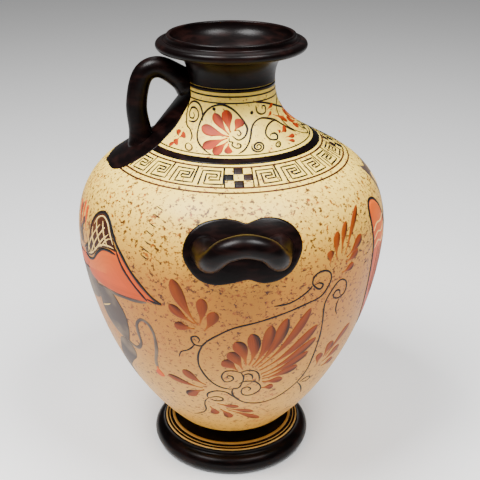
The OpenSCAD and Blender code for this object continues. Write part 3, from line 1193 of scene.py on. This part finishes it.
@dataclass
class BackPatch:
    """The black ground that the back handle's lower root stands on."""

    half: tuple[Point, ...] = (
        (0, 211), (8, 212.7), (22, 213.7), (28.7, 217.7), (30, 224.8), (29.6, 232.5), (26, 243.5),
        (21, 252), (16.5, 261.5), (11.7, 272.5), (12.4, 281), (9, 288.5))

    def make(self, bench: Bench) -> None:
        """Lay the patch."""
        border = self.half + tuple((-x, y) for x, y in self.half[:0:-1])
        drawing = bench.drawing(Side.BACK.value, lift=0.22)
        drawing.patch(border, (0.0, 240.0), 24)
        bench.lay(drawing, "back_patch", bench.finishes.gloss)


@dataclass
class WingedBeast:
    """A standing winged beast on the back of the jar, drawn in ash, black and orange slip."""

    anchor: float = math.radians(-160)
    haunch: tuple[Point, ...] = (
        (8, 134), (14, 138), (24, 139.5), (33, 138), (38, 132), (41, 124), (40, 114), (37, 106),
        (33, 100), (27, 102), (20, 107), (15, 113), (13, 121), (13, 128))
    shank: tuple[Point, ...] = (
        (33, 102), (36, 94), (33, 86), (24, 78), (14, 68), (8, 58), (7, 50), (-6, 47), (-10, 51),
        (-2, 56), (2, 66), (10, 80), (17, 90), (24, 100))
    trunk: tuple[Point, ...] = (
        (16, 138), (10, 144), (-6, 148), (-26, 150), (-44, 150), (-58, 142), (-60, 128), (-54, 116),
        (-40, 112), (-22, 116), (-6, 120), (8, 124), (16, 130))
    foreleg: tuple[Point, ...] = (
        (-46, 116), (-44, 100), (-43, 84), (-44, 68), (-46, 54), (-44, 46), (-58, 45), (-60, 50),
        (-53, 56), (-52, 70), (-53, 84), (-56, 100), (-58, 116))
    head: tuple[Point, ...] = (
        (-48, 146), (-46, 160), (-44, 174), (-48, 184), (-56, 188), (-66, 184), (-76, 176), (-74, 172),
        (-66, 172), (-62, 164), (-62, 150), (-58, 140))
    wing_field: tuple[Point, ...] = (
        (2, 146), (3, 153), (8, 154), (15, 157), (21, 163), (27, 167), (34, 168.5), (40, 170),
        (46, 168.5), (54, 160), (62, 151.5), (69, 145), (72, 142.8), (62, 141.6), (48, 140.6),
        (34, 140), (20, 140), (8, 141))
    scale_field: tuple[Point, ...] = (
        (1, 157), (6, 162), (9, 170), (10.5, 178), (13.5, 185), (20, 189), (27, 187), (33, 181.5),
        (38, 175), (41.5, 169.5), (35, 169.5), (28, 168), (21, 164), (15, 158.5), (8, 155.5), (3, 155))
    tail: Line = Line(((31, 103), (39.5, 98), (46.7, 104.5), (48, 114), (50, 121.5), (55, 126),
                       (60, 124), (61.5, 116), (58.7, 104), (53, 92), (50.5, 84)), 2.4)
    dark: tuple[Line, ...] = (
        Line(((10, 172), (11, 180), (14.5, 186), (21, 189.3), (28, 187), (34, 181.5), (40, 175),
              (47, 168), (54, 160), (62, 151.5), (69, 145), (74, 142.5)), 2.0),
        Line(((41, 171), (46, 162.5), (52, 155), (59, 147.5), (64, 142.5)), 1.8),
        Line(((74, 142.3), (69, 142.6), (64, 144)), 1.8),
        Line(((1, 154.5), (8, 153.6), (15, 156), (21, 162), (27, 166.5), (34, 168), (41, 167.5)), 1.8),
        Line(((9, 166), (5, 162), (0, 158)), 1.6),
        Line(((-64, 178), (-61, 180), (-58, 178)), 1.0),
        Line(((-43, 140), (-38, 147), (-28, 151), (-16, 152), (-2, 154)), 1.6),
        Line(((-43, 140), (-34, 140), (-22, 141), (-8, 143), (4, 145)), 1.4),
        Line(((-46, 140), (-50, 138.5), (-57, 139)), 1.2),
        Line(((-36, 122), (-30, 118), (-22, 118)), 1.1), Line(((-44, 124), (-46, 116), (-45, 104)), 1.1))
    grey: tuple[Line, ...] = (
        Line(((22, 138.6), (34, 138.8), (46, 139.4), (56, 140.2), (63, 141)), 2.6),
        Line(((-2, 178), (-6, 172), (-6, 166), (-2, 160)), 5.0),
        Line(((-14, 184), (-14, 176), (-12, 168), (-6, 160)), 5.0))
    pale: tuple[Line, ...] = (
        Line(((14, 179), (17, 184.5), (22, 186.8), (28, 184.5), (33, 179), (38, 173)), 0.9),
        Line(((8, 157.2), (15, 160.3), (21, 166), (28, 169.8), (35, 171), (39, 170.8)), 0.9),
        Line(((15, 122), (20, 124), (26, 127)), 0.8),
        Line(((-50, 148), (-49, 160), (-50, 172)), 0.9),
        Line(((-54, 146), (-54, 160), (-55, 170)), 0.9))
    orange: tuple[Petal, ...] = (
        Petal((2, 170), (-3, 186), 4.0), Petal((-6, 172), (-10, 187), 4.0),
        Petal((-10, 168), (-20, 184), 4.4), Petal((51, 86), (49, 76), 6.0),
        Petal((-44, 142), (-16, 146), 12.0, -2.0, 0.5), Petal((-20, 146), (6, 150), 11.0, 1.0, 0.5),
        Petal((-47, 142), (-46, 152), 5.0), Petal((-51, 142), (-51, 152), 5.0),
        Petal((-55, 141), (-56, 151), 5.0))

    def lattice(self) -> list[Line]:
        """Return the crossing pale lines that make the scales of the wing."""
        right = (((7, 158), (12, 168), (21, 181)), ((12, 158), (19, 170), (27, 181)),
                 ((19, 163), (26, 172), (32, 178)), ((26, 168), (31, 174), (35, 176)))
        left = (((12, 158), (8, 164), (9, 168)), ((19, 163), (14, 171), (13, 177)),
                ((26, 168), (19, 176), (16, 183)), ((33, 170), (27, 177), (23, 184)))
        return [Line(points, 1.0) for points in right + left]

    def make(self, bench: Bench) -> None:
        """Lay the beast, from the ground colours up to the pale lines."""
        body = bench.drawing(self.anchor, lift=0.08, seed=41)
        body.patch(self.trunk, (-22, 132))
        body.patch(self.haunch, (27, 120))
        body.patch(self.head, (-56, 168))
        body.patch(self.foreleg, (-51, 80))
        body.patch(self.shank, (18, 82))
        body.lines(self.grey + (self.tail,))
        bench.lay(body, "beast_body", bench.finishes.ash)
        wing = bench.drawing(self.anchor, lift=0.14, seed=43)
        wing.patch(self.wing_field, (30, 151), 12)
        wing.petals(self.orange)
        bench.lay(wing, "beast_wing", bench.finishes.wing)
        scales = bench.drawing(self.anchor, lift=0.16, seed=45)
        scales.patch(self.scale_field, (22, 171), 10)
        bench.lay(scales, "beast_scales", bench.finishes.umber)
        edges = bench.drawing(self.anchor, lift=0.22, seed=47)
        edges.lines(self.dark)
        bench.lay(edges, "beast_edges", bench.finishes.ink)
        fine = bench.drawing(self.anchor, lift=0.26, seed=49)
        fine.lines(list(self.pale) + self.lattice())
        bench.lay(fine, "beast_fine_lines", bench.finishes.gold)


@dataclass
class FrontOwl:
    """A plain owl with folded wings, in the middle of the front."""

    wing: tuple[Point, ...] = (
        (32, 150), (32, 168), (36, 182), (42, 190), (50, 191), (56, 185), (58.5, 174), (58.5, 158),
        (57, 140), (52, 120), (46, 106), (41, 98), (37, 108), (33, 128))
    trunk: tuple[Point, ...] = (
        (0, 178), (20, 178), (33, 170), (38, 154), (37, 134), (30, 114), (17, 98), (0, 93),
        (-17, 98), (-30, 114), (-37, 134), (-38, 154), (-33, 170), (-20, 178))
    head: tuple[Point, ...] = (
        (0, 206), (12, 205), (19, 209), (20, 200), (18, 186), (11, 176), (0, 173), (-11, 176),
        (-18, 186), (-20, 200), (-19, 209), (-12, 205))

    def make(self, bench: Bench) -> None:
        """Lay the owl, from the ground colours up to the lines."""
        front = Side.FRONT.value
        body = bench.drawing(front, lift=0.08, seed=51)
        body.patch(self.trunk, (0, 140), 12)
        body.patch(self.head, (0, 192))
        for way in (-1, 1):
            for toe in (-4, 0, 4):
                body.line(Line(((way * 9, 98), (way * 10 + toe, 88), (way * 10 + 1.5 * toe, 82)), 2.4))
        bench.lay(body, "owl_body", bench.finishes.ash)
        wings = bench.drawing(front, lift=0.12, seed=53)
        edges = bench.drawing(front, lift=0.2, seed=55)
        fine = bench.drawing(front, lift=0.24, seed=57)
        for way in (-1, 1):
            border = tuple((way * x, y) for x, y in self.wing)
            wings.patch(border, (way * 45, 150), 12)
            edges.line(Line(border, 2.0, Path.CLOSED))
            for k in range(4):
                edges.line(Line(((way * (37 + 4 * k), 158), (way * (37 + 4.2 * k), 136),
                                 (way * (38.5 + 3 * k), 116 + 3 * k)), 1.1))
            for k in range(3):
                fine.line(Line(((way * 34, 164 + 6 * k), (way * 42, 160 + 7 * k), (way * 50, 163 + 6 * k),
                                (way * 57, 160 + 6 * k)), 1.1))
            fine.patch([(way * 8.5 + 5 * math.cos(a * FULL_TURN / 8), 192 + 5 * math.sin(a * FULL_TURN / 8))
                        for a in range(8)], (way * 8.5, 192), 2)
            edges.dot((way * 8.5, 192), 2.2)
        edges.petal(Petal((0, 190), (0, 181), 4.0))
        for row in range(8):
            for k in range(-4 + row % 2, 5):
                x = 7.0 * k - 3.5 * (row % 2)
                if abs(x) < 28 - 1.1 * abs(row - 3) ** 1.6:
                    y = 166 - 8 * row
                    fine.line(Line(((x - 2.6, y), (x, y - 3), (x + 2.6, y)), 0.9))
        bench.lay(wings, "owl_wings", bench.finishes.wing)
        bench.lay(edges, "owl_edges", bench.finishes.ink)
        bench.lay(fine, "owl_fine_lines", bench.finishes.gold)


@dataclass
class PlainDabs:
    """Short columns of plain parallel dabs beside the figures."""

    left: tuple[Point, ...] = (
        (-50, 203), (-52, 198), (-55, 192), (-57, 187), (-58.5, 181), (-60, 176.5), (-61, 172))
    right: tuple[Point, ...] = ((92, 186), (93, 181), (93.5, 175), (94, 168), (93.5, 161), (93, 155))

    def make(self, bench: Bench) -> None:
        """Lay both columns on each side of the jar."""
        for side, mirrored in (("right", False), ("left", True)):
            dabs = bench.drawing(Side.RIGHT.value, mirrored, lift=0.1, seed=61)
            for x, y in self.left:
                dabs.line(Line(((x - 2.2, y + 1.0), (x, y), (x + 2.2, y - 0.8)), 1.1))
            for x, y in self.right:
                dabs.line(Line(((x - 1.6, y), (x, y + 0.4), (x + 1.6, y)), 0.9))
            bench.lay(dabs, f"dabs_{side}", bench.finishes.ink)


# ---- Finishes -------------------------------------------------------------------------------


def shade(name: str) -> tuple[bpy.types.Material, Wiring, bpy.types.Node]:
    """Start a material.

    Args:
        name: Name of the material.

    Returns:
        The material, the wiring of its tree and its Principled node.
    """
    made = bpy.data.materials.new(name)
    made.use_nodes = True
    return made, Wiring(made.node_tree), made.node_tree.nodes["Principled BSDF"]


def linear(red: int, green: int, blue: int) -> tuple[float, float, float, float]:
    """Turn a display colour of 0 to 255 a channel into the scene's linear colour."""
    parts = []
    for value in (red, green, blue):
        share = value / 255
        parts.append(share / 12.92 if share < 0.04045 else ((share + 0.055) / 1.055) ** 2.4)
    return (*parts, 1.0)


class SlipTrees:
    """Shader groups that several finishes share."""

    def __init__(self) -> None:
        """Build the groups once."""
        self.brush = self._brush()
        self.wear = self._wear()

    @staticmethod
    def _brush() -> bpy.types.NodeTree:
        """Build the streaks that a loaded brush leaves along a stroke."""
        w, given, out = new_group("Brush drag", "ShaderNodeTree", {
            "Streaks": ("NodeSocketFloat", 9.0)},
            {"Across": "NodeSocketFloat", "Along": "NodeSocketFloat", "Chance": "NodeSocketFloat",
             "Streak": "NodeSocketFloat"})
        mark = w.node("ShaderNodeAttribute", attribute_name="brush", attribute_type="GEOMETRY")
        parts = w.node("ShaderNodeSeparateXYZ", {0: mark.outputs["Vector"]})
        across = w.math("MULTIPLY", parts.outputs[0], given.outputs["Streaks"])
        along = w.math("MULTIPLY", parts.outputs[1], 1.3)
        chance = w.math("MULTIPLY", parts.outputs[2], 40.0)
        spot = w.node("ShaderNodeCombineXYZ", {0: across, 1: along, 2: chance})
        streak = w.node("ShaderNodeTexNoise", {"Vector": spot.outputs[0], "Scale": 1.0, "Detail": 3.0})
        for label, source in (("Across", parts.outputs[0]), ("Along", parts.outputs[1]),
                              ("Chance", parts.outputs[2]), ("Streak", streak.outputs[0])):
            w.tree.links.new(source, out.inputs[label])
        return w.tree

    @staticmethod
    def _wear() -> bpy.types.NodeTree:
        """Build the small misses in the slip where the clay shows through."""
        w, given, out = new_group("Slip wear", "ShaderNodeTree", {
            "Size": ("NodeSocketFloat", 600.0), "Amount": ("NodeSocketFloat", 0.3)},
            {"Worn": "NodeSocketFloat", "Cloud": "NodeSocketFloat"})
        place = w.node("ShaderNodeTexCoord").outputs["Object"]
        fine = w.node("ShaderNodeTexNoise", {
            "Vector": place, "Scale": given.outputs["Size"], "Detail": 4.0, "Roughness": 0.65})
        cloud = w.node("ShaderNodeTexNoise", {"Vector": place, "Scale": 45.0, "Detail": 2.0})
        sum_of = w.math("ADD", w.math("MULTIPLY", fine.outputs[0], 0.7),
                        w.math("MULTIPLY", cloud.outputs[0], 0.3))
        edge = w.math("SUBTRACT", 0.78, w.math("MULTIPLY", given.outputs["Amount"], 0.4))
        worn = w.math("MULTIPLY", w.math("SUBTRACT", sum_of, edge), 14.0)
        held = w.node("ShaderNodeClamp", {"Value": worn})
        w.tree.links.new(held.outputs[0], out.inputs["Worn"])
        w.tree.links.new(cloud.outputs[0], out.inputs["Cloud"])
        return w.tree


def group(w: Wiring, tree: bpy.types.NodeTree, values: dict) -> bpy.types.Node:
    """Add a group node.

    Args:
        w: Wiring of the material.
        tree: The shared group.
        values: Input name to value or socket.

    Returns:
        The group node.
    """
    made = w.tree.nodes.new("ShaderNodeGroup")
    made.node_tree = tree
    return w.feed(made, values)


def blend(w: Wiring, share: object, first: object, second: object) -> bpy.types.NodeSocket:
    """Mix two colours and return the result."""
    return w.node("ShaderNodeMix", {0: share, 6: first, 7: second}, data_type="RGBA").outputs[2]


def rough_skin(w: Wiring, principled: bpy.types.Node, height: object, strength: float,
               distance: float) -> None:
    """Give a material its relief.

    Args:
        w: Wiring of the material.
        principled: Its Principled node.
        height: Socket that holds the height.
        strength: Strength of the relief.
        distance: Height of the relief in metres.
    """
    bump = w.node("ShaderNodeBump", {"Height": height, "Strength": strength, "Distance": distance})
    w.tree.links.new(bump.outputs[0], principled.inputs["Normal"])


@dataclass(frozen=True)
class CreamSlip:
    """Burnished cream ground with iron specks, warmer towards the foot than on the shoulder. Its colour by
    height holds painted light: a painted highlight whitens the shoulder, painted shade darkens a band round
    the middle of the belly on top of the ground's own ochre tone, and a painted reflection of the floor
    lightens it again near the foot.
    """

    # top is whitened as a painted highlight, middle is darkened partly as painted shade, and low is
    # lightened as a painted reflection of the floor.
    top: tuple = linear(255, 220, 94)
    middle: tuple = linear(186, 117, 6)
    low: tuple = linear(206, 152, 58)
    speck: tuple = linear(44, 7, 1)
    stain: tuple = linear(168, 76, 4)
    roughness: float = 0.42

    def make(self) -> bpy.types.Material:
        """Build the material."""
        material, w, skin = shade("cream clay")
        place = w.node("ShaderNodeTexCoord").outputs["Object"]
        parts = w.node("ShaderNodeSeparateXYZ", {0: place})
        height = parts.outputs[2]
        # Blend by height: painted floor reflection near the foot, painted shade over the ochre tone round
        # the middle of the belly, painted highlight on the shoulder.
        ground = blend(w, w.clamp_range(height, 0.06, 0.15), self.low, self.middle)
        ground = blend(w, w.clamp_range(height, 0.16, 0.235), ground, self.top)
        cloud = w.node("ShaderNodeTexNoise", {"Vector": place, "Scale": 22.0, "Detail": 3.0})
        grain = w.node("ShaderNodeTexNoise", {"Vector": place, "Scale": 260.0, "Detail": 3.0})
        stained = w.math("MULTIPLY", w.clamp_range(cloud.outputs[0], 0.45, 0.75),
                         w.clamp_range(grain.outputs[0], 0.42, 0.7))
        ground = blend(w, w.math("MULTIPLY", stained, 0.5), ground, self.stain)
        flat = w.node("ShaderNodeVectorMath", {0: place, 1: (1.0, 1.0, 1.15)}, operation="MULTIPLY")
        fine = w.node("ShaderNodeTexNoise", {
            "Vector": flat.outputs[0], "Scale": 380.0, "Detail": 4.0, "Roughness": 0.7,
            "Distortion": 0.15})
        wide = w.node("ShaderNodeTexNoise", {"Vector": place, "Scale": 55.0, "Detail": 2.0})
        zone = w.math("MULTIPLY", w.clamp_range(height, 0.245, 0.205),
                      w.math("ADD", w.math("MULTIPLY", w.clamp_range(height, 0.11, 0.19), 0.5), 0.5))
        limit = w.math("SUBTRACT", 0.664, w.math("MULTIPLY", zone, 0.075))
        limit = w.math("SUBTRACT", limit, w.math("MULTIPLY", wide.outputs[0], 0.09))
        specks = w.math("MULTIPLY", w.math("SUBTRACT", fine.outputs[0], limit), 22.0)
        held = w.node("ShaderNodeClamp", {"Value": specks})
        outer = w.math("SUBTRACT", limit, 0.045)
        halo = w.math("MULTIPLY", w.math("SUBTRACT", fine.outputs[0], outer), 12.0)
        haze = w.node("ShaderNodeClamp", {"Value": halo})
        ground = blend(w, w.math("MULTIPLY", haze.outputs[0], 0.42), ground, self.stain)
        tone = blend(w, w.clamp_range(grain.outputs[0], 0.45, 0.75), self.speck, self.stain)
        colour = blend(w, w.math("MULTIPLY", held.outputs[0], 0.9), ground, tone)
        w.tree.links.new(colour, skin.inputs["Base Color"])
        skin.inputs["Roughness"].default_value = self.roughness
        skin.inputs["Specular IOR Level"].default_value = 0.3
        relief = w.math("ADD", grain.outputs[0], w.math("MULTIPLY", held.outputs[0], -0.4))
        rough_skin(w, skin, relief, 0.12, 0.0004)
        return material


@dataclass(frozen=True)
class BlackGloss:
    """Black-brown gloss that was brushed on and lightly burnished."""

    deep: tuple = linear(7, 3, 3)
    thin: tuple = linear(36, 17, 14)
    roughness: float = 0.32

    def make(self, trees: SlipTrees) -> bpy.types.Material:
        """Build the material."""
        material, w, skin = shade("black brown gloss")
        place = w.node("ShaderNodeTexCoord").outputs["Object"]
        flat = w.node("ShaderNodeVectorMath", {0: place, 1: (1.0, 1.0, 4.0)}, operation="MULTIPLY")
        drag = w.node("ShaderNodeTexNoise", {"Vector": flat.outputs[0], "Scale": 70.0, "Detail": 4.0})
        fine = w.node("ShaderNodeTexNoise", {"Vector": place, "Scale": 900.0, "Detail": 2.0})
        worn = group(w, trees.wear, {"Size": 700.0, "Amount": 0.16})
        thin = w.clamp_range(drag.outputs[0], 0.42, 0.72)
        colour = blend(w, w.math("MULTIPLY", thin, 0.5), self.deep, self.thin)
        colour = blend(w, w.math("MULTIPLY", worn.outputs["Worn"], 0.5), colour, linear(104, 70, 54))
        w.tree.links.new(colour, skin.inputs["Base Color"])
        rough = w.math("ADD", w.math("MULTIPLY", drag.outputs[0], 0.16), self.roughness - 0.08)
        w.tree.links.new(rough, skin.inputs["Roughness"])
        skin.inputs["Specular IOR Level"].default_value = 0.1
        relief = w.math("ADD", w.math("MULTIPLY", fine.outputs[0], 0.35), drag.outputs[0])
        rough_skin(w, skin, relief, 0.16, 0.0006)
        return material


@dataclass(frozen=True)
class InkSlip:
    """Thin drawn slip that turns brown where the brush ran dry."""

    name: str
    deep: tuple
    thin: tuple
    dry: float = 0.5
    roughness: float = 0.5

    def make(self, trees: SlipTrees) -> bpy.types.Material:
        """Build the material."""
        material, w, skin = shade(self.name)
        worn = group(w, trees.wear, {"Size": 420.0, "Amount": 0.36})
        share = w.math("MULTIPLY", w.clamp_range(worn.outputs["Cloud"], 0.42, 0.68), self.dry)
        colour = blend(w, share, self.deep, self.thin)
        colour = blend(w, w.math("MULTIPLY", worn.outputs["Worn"], 0.4), colour, linear(206, 160, 96))
        w.tree.links.new(colour, skin.inputs["Base Color"])
        skin.inputs["Roughness"].default_value = self.roughness
        skin.inputs["Specular IOR Level"].default_value = 0.2
        rough_skin(w, skin, worn.outputs["Cloud"], 0.1, 0.0003)
        return material


@dataclass(frozen=True)
class PetalSlip:
    """Red slip laid down with one stroke, dark along one edge and thin at its tail."""

    name: str
    fresh: tuple
    shadow: tuple
    tail: tuple
    shadow_amount: float = 0.85
    roughness: float = 0.5

    def make(self, trees: SlipTrees) -> bpy.types.Material:
        """Build the material."""
        material, w, skin = shade(self.name)
        drag = group(w, trees.brush, {"Streaks": 7.0})
        worn = group(w, trees.wear, {"Size": 520.0, "Amount": 0.22})
        streak = w.clamp_range(drag.outputs["Streak"], 0.35, 0.68)
        near = w.clamp_range(drag.outputs["Along"], 0.5, 0.1)
        colour = blend(w, w.math("MULTIPLY", near, 0.75), self.fresh, self.tail)
        edge = w.math("MULTIPLY", w.clamp_range(drag.outputs["Across"], 0.38, 0.92),
                      w.clamp_range(drag.outputs["Along"], 0.25, 0.8))
        edge = w.math("MULTIPLY", edge, w.math("ADD", w.math("MULTIPLY", drag.outputs["Chance"], 0.5), 0.5))
        edge = w.math("ADD", edge, w.math("MULTIPLY", streak, 0.28))
        colour = blend(w, w.math("MULTIPLY", edge, self.shadow_amount), colour, self.shadow)
        pale = w.math("MULTIPLY", w.clamp_range(worn.outputs["Cloud"], 0.45, 0.7), streak)
        colour = blend(w, w.math("MULTIPLY", pale, 0.3), colour, self.tail)
        colour = blend(w, w.math("MULTIPLY", worn.outputs["Worn"], 0.45), colour, linear(230, 180, 110))
        w.tree.links.new(colour, skin.inputs["Base Color"])
        skin.inputs["Roughness"].default_value = self.roughness
        skin.inputs["Specular IOR Level"].default_value = 0.2
        rough_skin(w, skin, drag.outputs["Streak"], 0.25, 0.0004)
        return material


def mix_finishes() -> Finishes:
    """Build every material of the jar."""
    trees = SlipTrees()
    return Finishes(
        cream=CreamSlip().make(),
        gloss=BlackGloss().make(trees),
        ink=InkSlip("ink_slip", linear(10, 7, 8), linear(52, 26, 16)).make(trees),
        umber=InkSlip("umber_slip", linear(52, 20, 8), linear(104, 54, 24)).make(trees),
        gold=InkSlip("reserved_clay", linear(240, 198, 114), linear(216, 166, 82), 0.5, 0.42).make(trees),
        ash=InkSlip("ash_slip", linear(76, 62, 56), linear(130, 110, 88), 0.8).make(trees),
        rust=PetalSlip("rust_slip", linear(140, 56, 0), linear(34, 8, 2),
                       linear(176, 92, 0), 0.95).make(trees),
        vermilion=PetalSlip("vermilion_slip", linear(164, 50, 0), linear(76, 14, 2),
                            linear(196, 90, 0), 0.8).make(trees),
        wing=PetalSlip("wing_slip", linear(214, 78, 2), linear(146, 46, 8),
                       linear(222, 104, 12), 0.5).make(trees))


@dataclass(frozen=True)
class Lamp:
    """One soft square lamp that faces the middle of the jar.

    Its azimuth is in degrees to the right of the camera's own side, and its elevation in degrees
    above level. Distance and size are in metres, and power is in watts.
    """

    name: str
    azimuth: float
    elevation: float
    distance: float
    size: float
    power: float


@dataclass
class Studio:
    """Pale floor, soft lights and the camera."""

    lamps: tuple[Lamp, ...] = (
        Lamp("left_softbox", -52, 62, 0.9, 0.34, 18.0),
        Lamp("right_softbox", 46, 62, 0.9, 0.3, 12.0),
        Lamp("back_softbox", 180, 60, 1.3, 0.8, 4.0))
    aim: tuple[float, float, float] = (0.0, 0.0, 0.16)
    world_light: float = 0.09
    floor_glow: float = 0.14

    focal: float = 70.99
    reach: float = 599.7 * MM
    height: float = 420.7 * MM
    pitch: float = 23.76
    azimuth: float = -93.8
    shift: float = 0.0181

    def camera(self) -> None:
        """Set the camera up in front of the side handle and look down on the jar."""
        data = bpy.data.cameras.new("camera")
        data.lens = self.focal
        data.sensor_width = 36.0
        data.shift_x = self.shift
        camera = bpy.data.objects.new("camera", data)
        angle = math.radians(self.azimuth)
        camera.location = (self.reach * math.cos(angle), self.reach * math.sin(angle), self.height)
        camera.rotation_euler = (math.radians(90 - self.pitch), 0.0, angle + math.pi / 2)
        bpy.context.collection.objects.link(camera)
        bpy.context.scene.camera = camera

    def hang(self, lamp: Lamp) -> None:
        """Hang one lamp."""
        data = bpy.data.lights.new(lamp.name, "AREA")
        data.shape = "SQUARE"
        data.size = lamp.size
        data.energy = lamp.power
        hung = bpy.data.objects.new(lamp.name, data)
        a = math.radians(self.azimuth + lamp.azimuth)
        e = math.radians(lamp.elevation)
        aim = Vector(self.aim)
        way = Vector((math.cos(e) * math.cos(a), math.cos(e) * math.sin(a), math.sin(e)))
        hung.location = aim + lamp.distance * way
        hung.rotation_euler = (aim - hung.location).to_track_quat("-Z", "Y").to_euler()
        bpy.context.collection.objects.link(hung)

    def make(self) -> None:
        """Lay the floor, hang the lamps and set up the camera."""
        bpy.ops.mesh.primitive_plane_add(size=6.0, location=(0.0, 0.0, 0.0))
        floor = bpy.context.object
        floor.name = "floor"
        finish = bpy.data.materials.new("pale floor")
        finish.use_nodes = True
        skin = finish.node_tree.nodes["Principled BSDF"]
        skin.inputs["Base Color"].default_value = (0.9, 0.9, 0.9, 1.0)
        skin.inputs["Roughness"].default_value = 0.8
        skin.inputs["Emission Color"].default_value = (1.0, 1.0, 1.0, 1.0)
        skin.inputs["Emission Strength"].default_value = self.floor_glow
        floor.data.materials.append(finish)
        world = bpy.data.worlds.new("studio")
        world.use_nodes = True
        sky = world.node_tree.nodes["Background"]
        sky.inputs["Color"].default_value = (1.0, 1.0, 1.0, 1.0)
        sky.inputs["Strength"].default_value = self.world_light
        bpy.context.scene.world = world
        for lamp in self.lamps:
            self.hang(lamp)
        self.camera()


def main() -> None:
    """Make the jar, its ornament and the studio."""
    logging.basicConfig(level=logging.INFO, format="%(name)s: %(message)s")
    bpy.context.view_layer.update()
    shape = JarShape()
    trees = ClayTrees()
    finishes = mix_finishes()
    pot = ThrownPot(shape, trees)
    pot.make(finishes.cream, finishes.gloss)
    PulledHandles(shape, trees).make(finishes.gloss)
    Rings(shape, pot, trees).make(finishes)
    bench = Bench(shape, trees, outline_curve("jar_outline", shape.outline), finishes)
    KeyBand().make(bench)
    for side, mirrored in (("right", False), ("left", True)):
        SideOrnament().make(side, mirrored, bench)
    for side, mirrored in (("right", False), ("left", True)):
        NeckFrieze().make(f"frieze_{side}", Side.RIGHT.value, mirrored, bench)
    SmallPalmette().make("frieze_front", Side.FRONT.value, bench)
    for ornament in (BackPatch(), WingedBeast(), FrontOwl(), PlainDabs()):
        ornament.make(bench)
    bpy.data.objects.remove(bench.outline)
    Studio().make()


if __name__ == "__main__":
    main()
